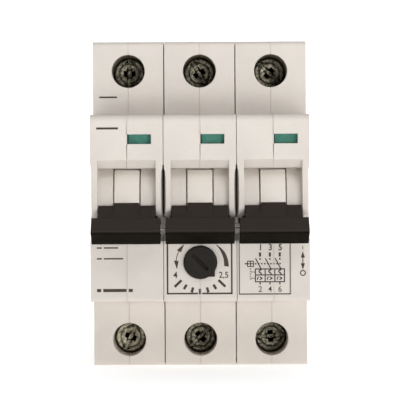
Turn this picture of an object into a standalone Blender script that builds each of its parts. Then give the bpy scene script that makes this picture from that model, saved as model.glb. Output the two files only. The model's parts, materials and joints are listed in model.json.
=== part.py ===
"""Three-pole motor protection breaker for a 35 mm top-hat rail.

Each pole is a module of two half-shells that meet at the module's centre plane. Between them sit
the toggle, the contacts, the arc chute, the trip coil, the bimetal strip and two screw terminals.
Four rivets hold the three modules together, one pin joins their levers and one bar trips them all.

Lengths are named in millimetres and are turned into metres where a shape is made.
X runs to the right, Z up, and depth forwards from the rail's mounting plane, which is -Y.
"""

import math

import bmesh
import bpy
from mathutils import Matrix, Vector

MM = 0.001
WELD = 0.00001 * MM
FLAT_ANGLE = 0.05                # degrees between faces that are merged into one
TOUCH = 0.3                      # the gap left between pieces that touch
OVERLAP = 0.5                    # how far a cutter runs past the face that it opens

# The modules and their half-shells
POLE_PITCH = 17.6
POLE_CENTRES = (-POLE_PITCH, 0.0, POLE_PITCH)
POLE_HALF_WIDTH = 8.65
SEAM_HALF_GAP = 0.1
SIDE_WALL = 1.3
CHAMBER_HALF_WIDTH = POLE_HALF_WIDTH - SIDE_WALL
SOCKET_DEPTH = 0.8

# The side outline of a module: depths and heights
TOP, BOTTOM = 41.1, -38.9
SHOULDER, NOSE, REAR = 44.0, 60.0, -5.5
NOSE_HALF_HEIGHT = 22.5
TOP_EDGE_RADIUS, BOTTOM_EDGE_RADIUS = 1.2, 0.6
NOSE_TOP_RADIUS, NOSE_BOTTOM_RADIUS = 1.7, 1.1
NOSE_WALL = 1.6

# The recess for a rail 35 wide, with a relief groove at each end of the seat
RAIL_HALF_OPENING = 17.8
SEAT_HALF_HEIGHT = 15.4
RELIEF_DEPTH = 0.3
HOOK_FRONT = -1.4
HOOK_HEIGHT = 15.8

# The clip that slides in a T-slot below the rail
CLIP_SLOT_STEP = -3.8            # depth at which the T-slot widens
CLIP_SLOT_HALF_WIDTHS = (4.5, 5.6)
CLIP_JAW_HEIGHT = -15.9
CLIP_BACK_TOP = -19.5
CLIP_BOTTOM = BOTTOM + TOUCH
CLIP_PULL_SLOT = (2.0, -37.2, -35.0)

# The handle channel, concentric with the toggle's axis
PIVOT = (49.0, 2.0)              # depth and height
CHANNEL_HALF_WIDTH = 7.0
CHANNEL_HALF_HEIGHT = 9.5
BAND_HEIGHT = 2.0
FLOOR_RADIUS = 9.0
FLOOR_WALL = 1.4
FLOOR_BACK_HALF_ANGLE = 80.0     # how far the floor's rear face curves, each way from straight ahead
FLOOR_END_DEPTH = 52.5
LOWER_END_WALL = 1.5
NOTCH_DEPTH = 55.0               # the step in the cheeks under the bars
NOTCH_TOP, NOTCH_BOTTOM = -1.9, -6.9
NOTCH_ROUND = 1.6
NOTCH_SLOPE_END = 1.0

# The toggle and its lever cap, drawn pointing down (off)
HUB_RADIUS = 9.6
HUB_HALF_WIDTH = 3.15
HUB_SIDE_GAP = 0.25
AXLE_RADIUS = 2.0
BEARING_GAP = 0.2
LEVER_HALF_WIDTH = 6.8
WEB_ANGLES = (-32.0, -8.0)       # the stretch of the hub that the cap's web stands on
WEB_FRONT = ((66.0, -2.4), (67.0, -6.5), (62.8, -7.2))
CROWN_ANGLES = (-16.0, -5.0)     # the stretch that the narrow crown stands on
CROWN_FRONT = ((65.0, -2.0), (64.0, -5.0))
BAR_HALF_WIDTH = 8.2
BAR_TOP = ((62.9, -2.9), (66.1, -2.25))
BAR_RIDGE = (69.3, -5.6)         # centre of the ridge's rounding
BAR_RIDGE_RADIUS = 0.7
BAR_RIDGE_ANGLES = (50.0, -55.0)
BAR_UNDERSIDE = ((64.4, -8.6), (63.4, -8.2))
TIE_PIN = (64.6, -4.9)
TIE_PIN_RADIUS = 1.2
TIE_PIN_HALF_LENGTH = POLE_PITCH + BAR_HALF_WIDTH - TOUCH

# The status window and the flag behind it
WINDOW_X = (0.05, 5.9)
WINDOW_HEIGHT = (15.4, 17.7)
FLAG_X = (0.4, 6.6)
FLAG_DEPTH = (56.2, 58.0)
FLAG_HEIGHT = (12.6, 18.1)
FLAG_CHAMBER = (12.3, 20.95)

# The screw terminals: the heights of their centres, and depths from front to back
TERMINAL_HEIGHTS = {"upper": 33.8, "lower": -32.5}
SCREW_HOLE_RADIUS = 4.05
SCREW_NECK_RADIUS = 2.75
SCREW_HEAD = (3.2, 30.4, 33.4)   # radius, underside, face
SCREW_SHANK = (2.45, 21.0)       # radius, tip
SCREW_CHAMFER = 0.6
SCREW_SLOT = (1.0, 1.3)          # width, depth
CROSS_RECESS = (4.0, 0.9, 1.8)   # length, width, depth
NECK_DEPTH = (29.0, 30.2)
POCKET_HALF_WIDTH = 5.3
POCKET_DEPTH = (9.5, 29.0)
POCKET_HALF_HEIGHT = 4.5
CAGE_HALF_WIDTH = 4.9
CAGE_DEPTH = (10.5, 23.7)
CAGE_HALF_HEIGHT = 4.0
CAGE_WALL = 1.5
WIRE_HALF_WIDTH = 4.4
WIRE_DEPTH = (11.6, 18.7)
TONGUE_DEPTH = (18.8, 20.3)
TONGUE_HALF_WIDTH = 3.0
TONGUE_SLOT_GAP = 0.35

# The mechanism inside the chamber
CHAMBER_BACK = 2.0
CHAMBER_HALF_HEIGHT = 20.8
FIXED_CONTACT_BOTTOM = 5.5
FIXED_BUTTON = (21.65, 6.0, 9.0)
ARM_PIVOT = (34.0, -2.0)
ARM_TIP = (27.0, 11.5)
ARM_WIDTH = 2.4
ARM_HALF_THICKNESS = 1.5
ARM_PIN_RADIUS = 1.2
ARM_BOSS = (2.0, 2.5)            # radius, half width
CHUTE_PLATES = 8
CHUTE_HALF_HEIGHT = 10.0
CHUTE_DEPTH = (2.3, 4.0, 15.0)   # back of the spine, front of the spine, tips of the plates
CHUTE_PLATE = 1.0
COIL_HEIGHT = 14.0
COIL_DEPTH = (30.8, 40.4)
COIL_TURNS = 5
COIL_RADII = (1.6, 3.9, 4.9, 6.4)   # bore, valley of the wire, crest of the wire, flange
COIL_FLANGE = 1.0
PLUNGER_RADIUS = 1.25
PLUNGER_DEPTH = (28.9, 43.0)
BIMETAL_SHELF = (-19.0, -17.5)
BIMETAL_FRONT = 31.0
BIMETAL_TOP = -6.0
BIMETAL_THICKNESS = 1.4

# The bar that runs through all three modules and trips them together
TRIP_BAR = (40.0, -12.0)
TRIP_BAR_RADIUS = 1.5
TRIP_BAR_HALF_LENGTH = 25.6
PADDLE_TIP = (32.5, -7.4)
PADDLE_WIDTH = 1.6
PADDLE_HALF_THICKNESS = 2.5

# The current setting dial in the middle module
DIAL_HEIGHT = -13.04
DIAL_RADIUS = 3.9
DIAL_FACE = 61.2
DIAL_FLANGE = (4.8, 56.4, 58.1)
DIAL_SHAFT = (2.0, 43.0)
DIAL_HOLE_RADIUS = 4.1
DIAL_BEAK_DEPTH = (60.3, 61.1)
DIAL_BEAK_ROOT = 3.85            # radius at which the beak's sides leave the knob
DIAL_BEAK_REACH = 5.0
DIAL_BEAK_HALF_ANGLE = 32.0
DIAL_SLOT = (5.2, 0.9, 0.9)      # length, width, depth
DIAL_ANGLE = -45.0               # the beak points down to the right

# The rivets through all three modules: depth and height of each
RIVETS = {
    "upper_rear_rivet": (4.5, 37.0),
    "lower_rear_rivet": (4.5, -34.0),
    "upper_front_rivet": (40.0, 25.2),
    "lower_front_rivet": (40.0, -24.6),
}
RIVET_RADIUS = 1.5
RIVET_HEAD = (2.5, 0.7)          # radius, thickness
RIVET_SINK = 0.2

OUTER_SIDE = POLE_PITCH + POLE_HALF_WIDTH

DISC_STEPS = 40
HOLE_STEPS = 24
ROUND_STEPS = 16
RIVET_STEPS = 12
FLOOR_STEPS = 10
CORNER_STEPS = 3


# ---------------------------------------------------------------- scene and materials

def clear_scene():
    """Start from an empty scene with one collection for the parts and one for the cutters."""
    for item in list(bpy.data.objects):
        bpy.data.objects.remove(item)
    parts = bpy.data.collections.new("motor_protection_breaker")
    cutters = bpy.data.collections.new("cutters")
    bpy.context.scene.collection.children.link(parts)
    bpy.context.scene.collection.children.link(cutters)
    return parts, cutters


def material(name, colour, roughness, metallic=0.0):
    """Make a Principled material of one colour."""
    made = bpy.data.materials.new(name)
    made.use_nodes = True
    shader = made.node_tree.nodes["Principled BSDF"]
    shader.inputs["Base Color"].default_value = (*colour, 1.0)
    shader.inputs["Roughness"].default_value = roughness
    shader.inputs["Metallic"].default_value = metallic
    made.diffuse_color = (*colour, 1.0)
    return made


# ---------------------------------------------------------------- shape helpers

def place(x, depth, height):
    """Turn millimetres to the right, forwards and up into a point in metres."""
    return Vector((x, -depth, height)) * MM


def arc(centre, radius, start, end, steps=CORNER_STEPS):
    """Points on an arc in the depth-height plane; 0 degrees is forwards and 90 is up."""
    points = []
    for step in range(steps + 1):
        angle = math.radians(start + (end - start) * step / steps)
        points.append((centre[0] + radius * math.cos(angle), centre[1] + radius * math.sin(angle)))
    return points


def strip(start, end, width):
    """The four corners of a straight bar between two points."""
    along = (Vector(end) - Vector(start)).normalized()
    across = Vector((-along.y, along.x)) * width / 2
    first, last = Vector(start), Vector(end)
    return [tuple(point) for point in (first - across, last - across, last + across, first + across)]


def clean_mesh(source, name):
    """Make an object's evaluated shape a closed mesh in the module's own frame, and remove it."""
    bpy.context.view_layer.update()
    evaluated = source.evaluated_get(bpy.context.evaluated_depsgraph_get())
    mesh = bpy.data.meshes.new_from_object(evaluated)
    mesh.name = name
    mesh.transform(source.matrix_world)
    shape = bmesh.new()
    shape.from_mesh(mesh)
    bmesh.ops.remove_doubles(shape, verts=shape.verts, dist=WELD)
    bmesh.ops.dissolve_limit(
        shape, angle_limit=math.radians(FLAT_ANGLE), verts=shape.verts, edges=shape.edges
    )
    bmesh.ops.recalc_face_normals(shape, faces=shape.faces)
    shape.to_mesh(mesh)
    shape.free()
    bpy.data.objects.remove(source)
    return mesh


def solid(name, mesh):
    """Put a mesh in the cutters' collection, where shapes are kept while they are made."""
    made = bpy.data.objects.new(name, mesh)
    made.hide_render = True
    made.display_type = "WIRE"
    bpy.data.collections["cutters"].objects.link(made)
    return made


def box(name, x_range, depth_range, height_range):
    """A box between two limits on each axis."""
    low = place(x_range[0], depth_range[1], height_range[0])
    high = place(x_range[1], depth_range[0], height_range[1])
    shape = bmesh.new()
    bmesh.ops.create_cube(shape, size=1.0)
    bmesh.ops.scale(shape, vec=high - low, verts=shape.verts)
    bmesh.ops.translate(shape, vec=(low + high) / 2, verts=shape.verts)
    mesh = bpy.data.meshes.new(name)
    shape.to_mesh(mesh)
    shape.free()
    return solid(name, mesh)


def flat_prism(name, outline, thickness, matrix):
    """Extrude a closed outline by a thickness, centred on the plane that the matrix gives."""
    curve = bpy.data.curves.new(name, "CURVE")
    curve.dimensions = "2D"
    curve.fill_mode = "BOTH"
    curve.extrude = thickness * MM / 2
    spline = curve.splines.new("POLY")
    spline.points.add(len(outline) - 1)
    for point, (across, up) in zip(spline.points, outline):
        point.co = (across * MM, up * MM, 0.0, 1.0)
    spline.use_cyclic_u = True
    carrier = bpy.data.objects.new(name, curve)
    carrier.matrix_world = matrix
    bpy.data.collections["cutters"].objects.link(carrier)
    return solid(name, clean_mesh(carrier, name))


def side_prism(name, outline, x_range):
    """Extrude a depth-height outline across the width, between two x limits."""
    turn = Matrix(((0, 0, -1), (-1, 0, 0), (0, 1, 0))).to_4x4()
    centre = Matrix.Translation(place((x_range[0] + x_range[1]) / 2, 0, 0))
    return flat_prism(name, outline, x_range[1] - x_range[0], centre @ turn)


def front_prism(name, outline, depth_range):
    """Extrude an x-height outline along the depth, between two depths."""
    turn = Matrix(((1, 0, 0), (0, 0, -1), (0, 1, 0))).to_4x4()
    centre = Matrix.Translation(place(0, (depth_range[0] + depth_range[1]) / 2, 0))
    return flat_prism(name, outline, depth_range[1] - depth_range[0], centre @ turn)


def turned(name, profile, matrix, steps=ROUND_STEPS):
    """Turn a (radius, distance along the axis) profile about the matrix's Z axis."""
    mesh = bpy.data.meshes.new(name)
    points = [(radius * MM, 0.0, along * MM) for radius, along in profile]
    mesh.from_pydata(points, [(index, index + 1) for index in range(len(points) - 1)], [])
    carrier = bpy.data.objects.new(name, mesh)
    carrier.matrix_world = matrix
    bpy.data.collections["cutters"].objects.link(carrier)
    screw = carrier.modifiers.new("turn", "SCREW")
    screw.steps = steps
    screw.render_steps = steps
    screw.use_merge_vertices = True
    screw.merge_threshold = 0.001 * MM
    return solid(name, clean_mesh(carrier, name))


def along_depth(x, height):
    """A frame at the rail plane whose Z axis runs forwards."""
    return Matrix.Translation(place(x, 0, height)) @ Matrix.Rotation(math.radians(90), 4, "X")


def along_width(depth, height):
    """A frame on the centre plane whose Z axis runs to the right."""
    return Matrix.Translation(place(0, depth, height)) @ Matrix.Rotation(math.radians(90), 4, "Y")


def rod(name, radius, ends, matrix, steps=ROUND_STEPS):
    """A plain round bar between two distances along the matrix's Z axis."""
    profile = [(0, ends[1]), (radius, ends[1]), (radius, ends[0]), (0, ends[0])]
    return turned(name, profile, matrix, steps)


def boolean(target, operation, tools):
    """Add one exact Boolean modifier for each tool."""
    for tool in tools:
        modifier = target.modifiers.new(tool.name, "BOOLEAN")
        modifier.operation = operation
        modifier.solver = "EXACT"
        modifier.object = tool
    return target


def piece(target, added=(), removed=()):
    """Join and cut a shape, and return its finished mesh."""
    boolean(target, "UNION", added)
    boolean(target, "DIFFERENCE", removed)
    return clean_mesh(target, target.name)


# ---------------------------------------------------------------- housing

def housing_outline():
    """The side outline of a module, from the lower rear corner round to the upper rear corner."""
    outline = [
        (REAR, -RAIL_HALF_OPENING),
        (RELIEF_DEPTH, -RAIL_HALF_OPENING),
        (RELIEF_DEPTH, -SEAT_HALF_HEIGHT),
        (0.0, -SEAT_HALF_HEIGHT),
        (0.0, SEAT_HALF_HEIGHT),
        (RELIEF_DEPTH, SEAT_HALF_HEIGHT),
        (RELIEF_DEPTH, RAIL_HALF_OPENING),
        (HOOK_FRONT, RAIL_HALF_OPENING),
        (HOOK_FRONT, HOOK_HEIGHT),
        (REAR, HOOK_HEIGHT),
        (REAR, TOP),
    ]
    outline += arc((SHOULDER - TOP_EDGE_RADIUS, TOP - TOP_EDGE_RADIUS), TOP_EDGE_RADIUS, 90, 0)
    outline.append((SHOULDER, NOSE_HALF_HEIGHT))
    nose_top = (NOSE - NOSE_TOP_RADIUS, NOSE_HALF_HEIGHT - NOSE_TOP_RADIUS)
    outline += arc(nose_top, NOSE_TOP_RADIUS, 90, 0)
    nose_bottom = (NOSE - NOSE_BOTTOM_RADIUS, NOSE_BOTTOM_RADIUS - NOSE_HALF_HEIGHT)
    outline += arc(nose_bottom, NOSE_BOTTOM_RADIUS, 0, -90)
    outline.append((SHOULDER, -NOSE_HALF_HEIGHT))
    lower_edge = (SHOULDER - BOTTOM_EDGE_RADIUS, BOTTOM + BOTTOM_EDGE_RADIUS)
    outline += arc(lower_edge, BOTTOM_EDGE_RADIUS, 0, -90)
    outline.append((REAR, BOTTOM))
    return outline


def chamber_outline():
    """The mechanism chamber, which runs behind the handle channel and into both ends of the nose."""
    front = NOSE - NOSE_WALL
    inner = FLOOR_RADIUS - FLOOR_WALL
    lower_wall = PIVOT[1] - CHANNEL_HALF_HEIGHT - LOWER_END_WALL
    outline = [
        (CHAMBER_BACK, CHAMBER_HALF_HEIGHT),
        (CHAMBER_BACK, -CHAMBER_HALF_HEIGHT),
        (front, -CHAMBER_HALF_HEIGHT),
        (front, lower_wall),
        (FLOOR_END_DEPTH, lower_wall),
    ]
    outline += arc(PIVOT, inner, -FLOOR_BACK_HALF_ANGLE, FLOOR_BACK_HALF_ANGLE, FLOOR_STEPS)
    outline += [
        (FLOOR_END_DEPTH, FLAG_CHAMBER[0]),
        (front, FLAG_CHAMBER[0]),
        (front, FLAG_CHAMBER[1]),
        (SHOULDER, FLAG_CHAMBER[1]),
        (SHOULDER, CHAMBER_HALF_HEIGHT),
    ]
    return outline


def channel_outline():
    """The handle channel: a convex floor round the toggle's axis between two sloping bands."""
    top = PIVOT[1] + CHANNEL_HALF_HEIGHT
    bottom = PIVOT[1] - CHANNEL_HALF_HEIGHT
    reach = CHANNEL_HALF_HEIGHT - BAND_HEIGHT
    floor_angle = math.degrees(math.asin(reach / FLOOR_RADIUS))
    outline = arc(PIVOT, FLOOR_RADIUS, floor_angle, -floor_angle, FLOOR_STEPS)
    outline += [(NOSE, bottom), (NOSE + OVERLAP, bottom), (NOSE + OVERLAP, top), (NOSE, top)]
    return outline


def notch_outline():
    """The step in the cheeks below the lever, with a rounded upper edge and a sloping lower end."""
    rounded = arc((NOSE - NOTCH_ROUND, NOTCH_TOP + NOTCH_ROUND), NOTCH_ROUND, -90, 0)
    outline = [(NOTCH_DEPTH, NOTCH_TOP), *rounded]
    outline += [
        (NOSE + OVERLAP, NOTCH_TOP + NOTCH_ROUND),
        (NOSE + OVERLAP, NOTCH_BOTTOM - NOTCH_SLOPE_END),
        (NOSE, NOTCH_BOTTOM - NOTCH_SLOPE_END),
        (NOTCH_DEPTH, NOTCH_BOTTOM),
    ]
    return outline


def terminal_cutters(side, height):
    """The clamp's pocket, the screwdriver hole, its neck, the wire entry and the tongue's slot."""
    outward = 1 if side == "upper" else -1
    edge = TOP if side == "upper" else BOTTOM
    pocket_height = (height - POCKET_HALF_HEIGHT, height + POCKET_HALF_HEIGHT)
    pocket_edge = height + outward * (POCKET_HALF_HEIGHT - OVERLAP)
    inner_edge = height - outward * (POCKET_HALF_HEIGHT - OVERLAP)
    chamber_edge = outward * (CHAMBER_HALF_HEIGHT - OVERLAP)
    slot_half_width = TONGUE_HALF_WIDTH + TONGUE_SLOT_GAP
    slot_depth = (TONGUE_DEPTH[0] - TONGUE_SLOT_GAP, TONGUE_DEPTH[1] + TONGUE_SLOT_GAP)
    axis = along_depth(0, height)
    hole = (NECK_DEPTH[1], SHOULDER + OVERLAP)
    neck = (NECK_DEPTH[0] - OVERLAP, NECK_DEPTH[1] + OVERLAP)
    return [
        box(side + "_pocket", (-POCKET_HALF_WIDTH, POCKET_HALF_WIDTH), POCKET_DEPTH, pocket_height),
        rod(side + "_driver_hole", SCREW_HOLE_RADIUS, hole, axis, HOLE_STEPS),
        rod(side + "_neck", SCREW_NECK_RADIUS, neck, axis),
        box(side + "_wire_entry", (-WIRE_HALF_WIDTH, WIRE_HALF_WIDTH), WIRE_DEPTH,
            sorted((pocket_edge, edge + outward * OVERLAP))),
        box(side + "_tongue_slot", (-slot_half_width, slot_half_width), slot_depth,
            sorted((inner_edge, chamber_edge))),
    ]


def clip_slot_cutters():
    """The T-slot in the rear of the lower block, open at the bottom and towards the rail."""
    height = (BOTTOM - OVERLAP, -RAIL_HALF_OPENING + OVERLAP)
    narrow, wide = CLIP_SLOT_HALF_WIDTHS
    return [
        box("clip_slot_mouth", (-narrow, narrow), (REAR - OVERLAP, CLIP_SLOT_STEP + OVERLAP), height),
        box("clip_slot_groove", (-wide, wide), (CLIP_SLOT_STEP, HOOK_FRONT), height),
    ]


def bearing_cutters():
    """The sockets and through holes in the side walls."""
    socket = CHAMBER_HALF_WIDTH + SOCKET_DEPTH
    across = (-POLE_HALF_WIDTH - OVERLAP, POLE_HALF_WIDTH + OVERLAP)
    slot_half_width = HUB_HALF_WIDTH + HUB_SIDE_GAP
    cutters = [
        rod("hub_slot", HUB_RADIUS + HUB_SIDE_GAP, (-slot_half_width, slot_half_width),
            along_width(*PIVOT), DISC_STEPS),
        rod("axle_sockets", AXLE_RADIUS + BEARING_GAP, (-socket, socket), along_width(*PIVOT)),
        rod("arm_sockets", ARM_PIN_RADIUS + BEARING_GAP, (-socket, socket), along_width(*ARM_PIVOT)),
        rod("trip_bar_holes", TRIP_BAR_RADIUS + TOUCH, across, along_width(*TRIP_BAR)),
    ]
    for name, centre in RIVETS.items():
        axis = along_width(*centre)
        cutters.append(rod(name + "_hole", RIVET_RADIUS + BEARING_GAP, across, axis, RIVET_STEPS))
    return cutters


def shell_cutters():
    """Every cutter that both half-shells of a module share."""
    chamber_x = (-CHAMBER_HALF_WIDTH, CHAMBER_HALF_WIDTH)
    channel_x = (-CHANNEL_HALF_WIDTH, CHANNEL_HALF_WIDTH)
    outside_x = (-POLE_HALF_WIDTH - OVERLAP, POLE_HALF_WIDTH + OVERLAP)
    cutters = [
        side_prism("mechanism_chamber", chamber_outline(), chamber_x),
        side_prism("handle_channel", channel_outline(), channel_x),
        side_prism("cheek_notch", notch_outline(), outside_x),
        box("status_window", WINDOW_X, (NOSE - NOSE_WALL - OVERLAP, NOSE + OVERLAP), WINDOW_HEIGHT),
    ]
    for side, height in TERMINAL_HEIGHTS.items():
        cutters += terminal_cutters(side, height)
    cutters += clip_slot_cutters()
    cutters += bearing_cutters()
    return cutters


def dial_cutters():
    """The dial's hole through the nose and the room for its flange."""
    axis = along_depth(0, DIAL_HEIGHT)
    flange_depth = (DIAL_FLANGE[1] - BEARING_GAP, NOSE - NOSE_WALL + BEARING_GAP)
    return [
        rod("dial_hole", DIAL_HOLE_RADIUS, (DIAL_FLANGE[2], NOSE + OVERLAP), axis, HOLE_STEPS),
        rod("dial_flange_room", DIAL_FLANGE[0] + BEARING_GAP, flange_depth, axis, HOLE_STEPS),
    ]


def rivet_head_cutters():
    """Counterbores for the rivet heads in the two outer sides."""
    radius, thickness = RIVET_HEAD
    depth = thickness + RIVET_SINK
    cutters = {"left": [], "right": []}
    for name, centre in RIVETS.items():
        axis = along_width(*centre)
        left = (-POLE_HALF_WIDTH - OVERLAP, depth - POLE_HALF_WIDTH)
        right = (POLE_HALF_WIDTH - depth, POLE_HALF_WIDTH + OVERLAP)
        cutters["left"].append(rod(name + "_left_seat", radius + BEARING_GAP, left, axis))
        cutters["right"].append(rod(name + "_right_seat", radius + BEARING_GAP, right, axis))
    return cutters


def shell_meshes():
    """The six half-shells as meshes, keyed by module number and side."""
    shared = shell_cutters()
    dial = dial_cutters()
    rivet_heads = rivet_head_cutters()
    sides = {
        "left": (-POLE_HALF_WIDTH, -SEAM_HALF_GAP),
        "right": (SEAM_HALF_GAP, POLE_HALF_WIDTH),
    }
    outer_poles = {"left": 1, "right": len(POLE_CENTRES)}
    meshes = {}
    for side, x_range in sides.items():
        plain = piece(side_prism(side + "_shell", housing_outline(), x_range), removed=shared)
        for number in range(1, len(POLE_CENTRES) + 1):
            extra = []
            if number == outer_poles[side]:
                extra = rivet_heads[side]
            elif number == 2:
                extra = dial
            body = solid(f"{side}_shell_{number}", plain.copy())
            meshes[number, side] = piece(body, removed=extra)
    return meshes


# ---------------------------------------------------------------- moving parts at the front

def toggle_mesh():
    """The toggle's disc with a stub axle on each side."""
    axle = CHAMBER_HALF_WIDTH + SOCKET_DEPTH - TOUCH
    profile = [
        (0, axle), (AXLE_RADIUS, axle), (AXLE_RADIUS, HUB_HALF_WIDTH), (HUB_RADIUS, HUB_HALF_WIDTH),
        (HUB_RADIUS, -HUB_HALF_WIDTH), (AXLE_RADIUS, -HUB_HALF_WIDTH), (AXLE_RADIUS, -axle), (0, -axle),
    ]
    return clean_mesh(turned("toggle", profile, along_width(*PIVOT), DISC_STEPS), "toggle")


def lever_mesh():
    """The lever cap: a web that stands on the hub and a full-width bar with a ridge."""
    seat_radius = HUB_RADIUS + HUB_SIDE_GAP
    web = [*arc(PIVOT, seat_radius, *WEB_ANGLES), *WEB_FRONT]
    crown = [*arc(PIVOT, seat_radius, *CROWN_ANGLES), *CROWN_FRONT]
    ridge = arc(BAR_RIDGE, BAR_RIDGE_RADIUS, *BAR_RIDGE_ANGLES)
    bar = [*BAR_TOP, *ridge, *BAR_UNDERSIDE]
    body = side_prism("lever_cap", bar, (-BAR_HALF_WIDTH, BAR_HALF_WIDTH))
    web_solid = side_prism("lever_web", web, (-LEVER_HALF_WIDTH, LEVER_HALF_WIDTH))
    crown_solid = side_prism("lever_crown", crown, (-HUB_HALF_WIDTH, HUB_HALF_WIDTH))
    bore_half_length = BAR_HALF_WIDTH + OVERLAP
    bore = rod("tie_pin_bore", TIE_PIN_RADIUS + BEARING_GAP, (-bore_half_length, bore_half_length),
               along_width(*TIE_PIN))
    return piece(body, added=[web_solid, crown_solid], removed=[bore])


def tie_pin_mesh():
    """The steel pin that joins the three levers."""
    ends = (-TIE_PIN_HALF_LENGTH, TIE_PIN_HALF_LENGTH)
    return clean_mesh(rod("tie_pin", TIE_PIN_RADIUS, ends, along_width(*TIE_PIN)), "tie_pin")


def flag_mesh():
    """The two-colour flag behind the status window."""
    return clean_mesh(box("status_flag", FLAG_X, FLAG_DEPTH, FLAG_HEIGHT), "status_flag")


def dial_mesh():
    """The setting dial: knob, beak, screwdriver slot, retaining flange and shaft."""
    flange_radius, flange_back, flange_front = DIAL_FLANGE
    shaft_radius, shaft_end = DIAL_SHAFT
    profile = [
        (0, DIAL_FACE), (DIAL_RADIUS, DIAL_FACE), (DIAL_RADIUS, flange_front),
        (flange_radius, flange_front), (flange_radius, flange_back), (shaft_radius, flange_back),
        (shaft_radius, shaft_end), (0, shaft_end),
    ]
    knob = turned("current_dial", profile, along_depth(0, DIAL_HEIGHT), HOLE_STEPS)
    sides = [math.radians(DIAL_ANGLE + turn) for turn in (-DIAL_BEAK_HALF_ANGLE, DIAL_BEAK_HALF_ANGLE)]
    tip = math.radians(DIAL_ANGLE)
    root = DIAL_BEAK_ROOT
    beak_outline = [
        (0.0, DIAL_HEIGHT),
        (root * math.cos(sides[0]), DIAL_HEIGHT + root * math.sin(sides[0])),
        (DIAL_BEAK_REACH * math.cos(tip), DIAL_HEIGHT + DIAL_BEAK_REACH * math.sin(tip)),
        (root * math.cos(sides[1]), DIAL_HEIGHT + root * math.sin(sides[1])),
    ]
    beak = front_prism("dial_beak", beak_outline, DIAL_BEAK_DEPTH)
    length, width, depth = DIAL_SLOT
    along = Vector((math.cos(tip), math.sin(tip))) * length / 2
    centre = Vector((0.0, DIAL_HEIGHT))
    slot_outline = strip(centre - along, centre + along, width)
    slot = front_prism("dial_slot", slot_outline, (DIAL_FACE - depth, DIAL_FACE + OVERLAP))
    return piece(knob, added=[beak], removed=[slot])


# ---------------------------------------------------------------- terminals

def screw_mesh(side, height):
    """A terminal screw with a slot and a cross recess, lying along the depth."""
    head_radius, head_back, head_face = SCREW_HEAD
    shank_radius, tip = SCREW_SHANK
    profile = [
        (0, head_face), (head_radius, head_face), (head_radius, head_back), (shank_radius, head_back),
        (shank_radius, tip + SCREW_CHAMFER), (shank_radius - SCREW_CHAMFER, tip), (0, tip),
    ]
    name = side + "_terminal_screw"
    body = turned(name, profile, along_depth(0, height), HOLE_STEPS)
    slot_width, slot_depth = SCREW_SLOT
    across = (-head_radius - OVERLAP, head_radius + OVERLAP)
    slot_height = (height - slot_width / 2, height + slot_width / 2)
    slot = box(name + "_slot", across, (head_face - slot_depth, head_face + OVERLAP), slot_height)
    length, width, depth = CROSS_RECESS
    cross_depth = (head_face - depth, head_face + OVERLAP)
    upright = box(name + "_cross", (-width / 2, width / 2), cross_depth,
                  (height - length / 2, height + length / 2))
    return piece(body, removed=[slot, upright])


def cage_mesh(side, height):
    """The clamp's cage: a square tube, open along the wire, with the screw through its front."""
    name = side + "_clamp_cage"
    span = (height - CAGE_HALF_HEIGHT, height + CAGE_HALF_HEIGHT)
    body = box(name, (-CAGE_HALF_WIDTH, CAGE_HALF_WIDTH), CAGE_DEPTH, span)
    inner_x = CAGE_HALF_WIDTH - CAGE_WALL
    inner_depth = (CAGE_DEPTH[0] + CAGE_WALL, CAGE_DEPTH[1] - CAGE_WALL)
    tunnel = box(name + "_tunnel", (-inner_x, inner_x), inner_depth,
                 (span[0] - OVERLAP, span[1] + OVERLAP))
    thread = rod(name + "_thread", SCREW_SHANK[0] + BEARING_GAP,
                 (inner_depth[1] - OVERLAP, CAGE_DEPTH[1] + OVERLAP), along_depth(0, height))
    return piece(body, removed=[tunnel, thread])


# ---------------------------------------------------------------- mechanism inside a module

def fixed_contact_mesh():
    """The upper terminal's tongue, which runs down to the fixed contact button."""
    width = (-TONGUE_HALF_WIDTH, TONGUE_HALF_WIDTH)
    top = TERMINAL_HEIGHTS["upper"] + CAGE_HALF_HEIGHT - TOUCH
    body = box("fixed_contact", width, TONGUE_DEPTH, (FIXED_CONTACT_BOTTOM, top))
    front, low, high = FIXED_BUTTON
    button = box("fixed_button", (-ARM_HALF_THICKNESS, ARM_HALF_THICKNESS),
                 (TONGUE_DEPTH[1] - OVERLAP, front), (low, high))
    return piece(body, added=[button])


def contact_arm_mesh():
    """The moving contact: a flat arm on a cross pin, standing open."""
    body = side_prism("contact_arm", strip(ARM_PIVOT, ARM_TIP, ARM_WIDTH),
                      (-ARM_HALF_THICKNESS, ARM_HALF_THICKNESS))
    reach = CHAMBER_HALF_WIDTH + SOCKET_DEPTH - TOUCH
    boss_radius, boss_reach = ARM_BOSS
    boss = rod("arm_boss", boss_radius, (-boss_reach, boss_reach), along_width(*ARM_PIVOT))
    pin = rod("arm_pin", ARM_PIN_RADIUS, (-reach, reach), along_width(*ARM_PIVOT))
    return piece(body, added=[boss, pin])


def arc_chute_mesh():
    """The arc chute: a stack of splitter plates on a spine."""
    back, spine, tips = CHUTE_DEPTH
    outline = [(back, -CHUTE_HALF_HEIGHT), (tips, -CHUTE_HALF_HEIGHT)]
    step = (2 * CHUTE_HALF_HEIGHT - CHUTE_PLATE) / (CHUTE_PLATES - 1)
    for index in range(CHUTE_PLATES):
        low = -CHUTE_HALF_HEIGHT + index * step
        high = low + CHUTE_PLATE
        if index > 0:
            outline += [(spine, low), (tips, low)]
        outline.append((tips, high))
        if index < CHUTE_PLATES - 1:
            outline.append((spine, high))
    outline.append((back, CHUTE_HALF_HEIGHT))
    half_width = CHAMBER_HALF_WIDTH - TOUCH
    return clean_mesh(side_prism("arc_chute", outline, (-half_width, half_width)), "arc_chute")


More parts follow.
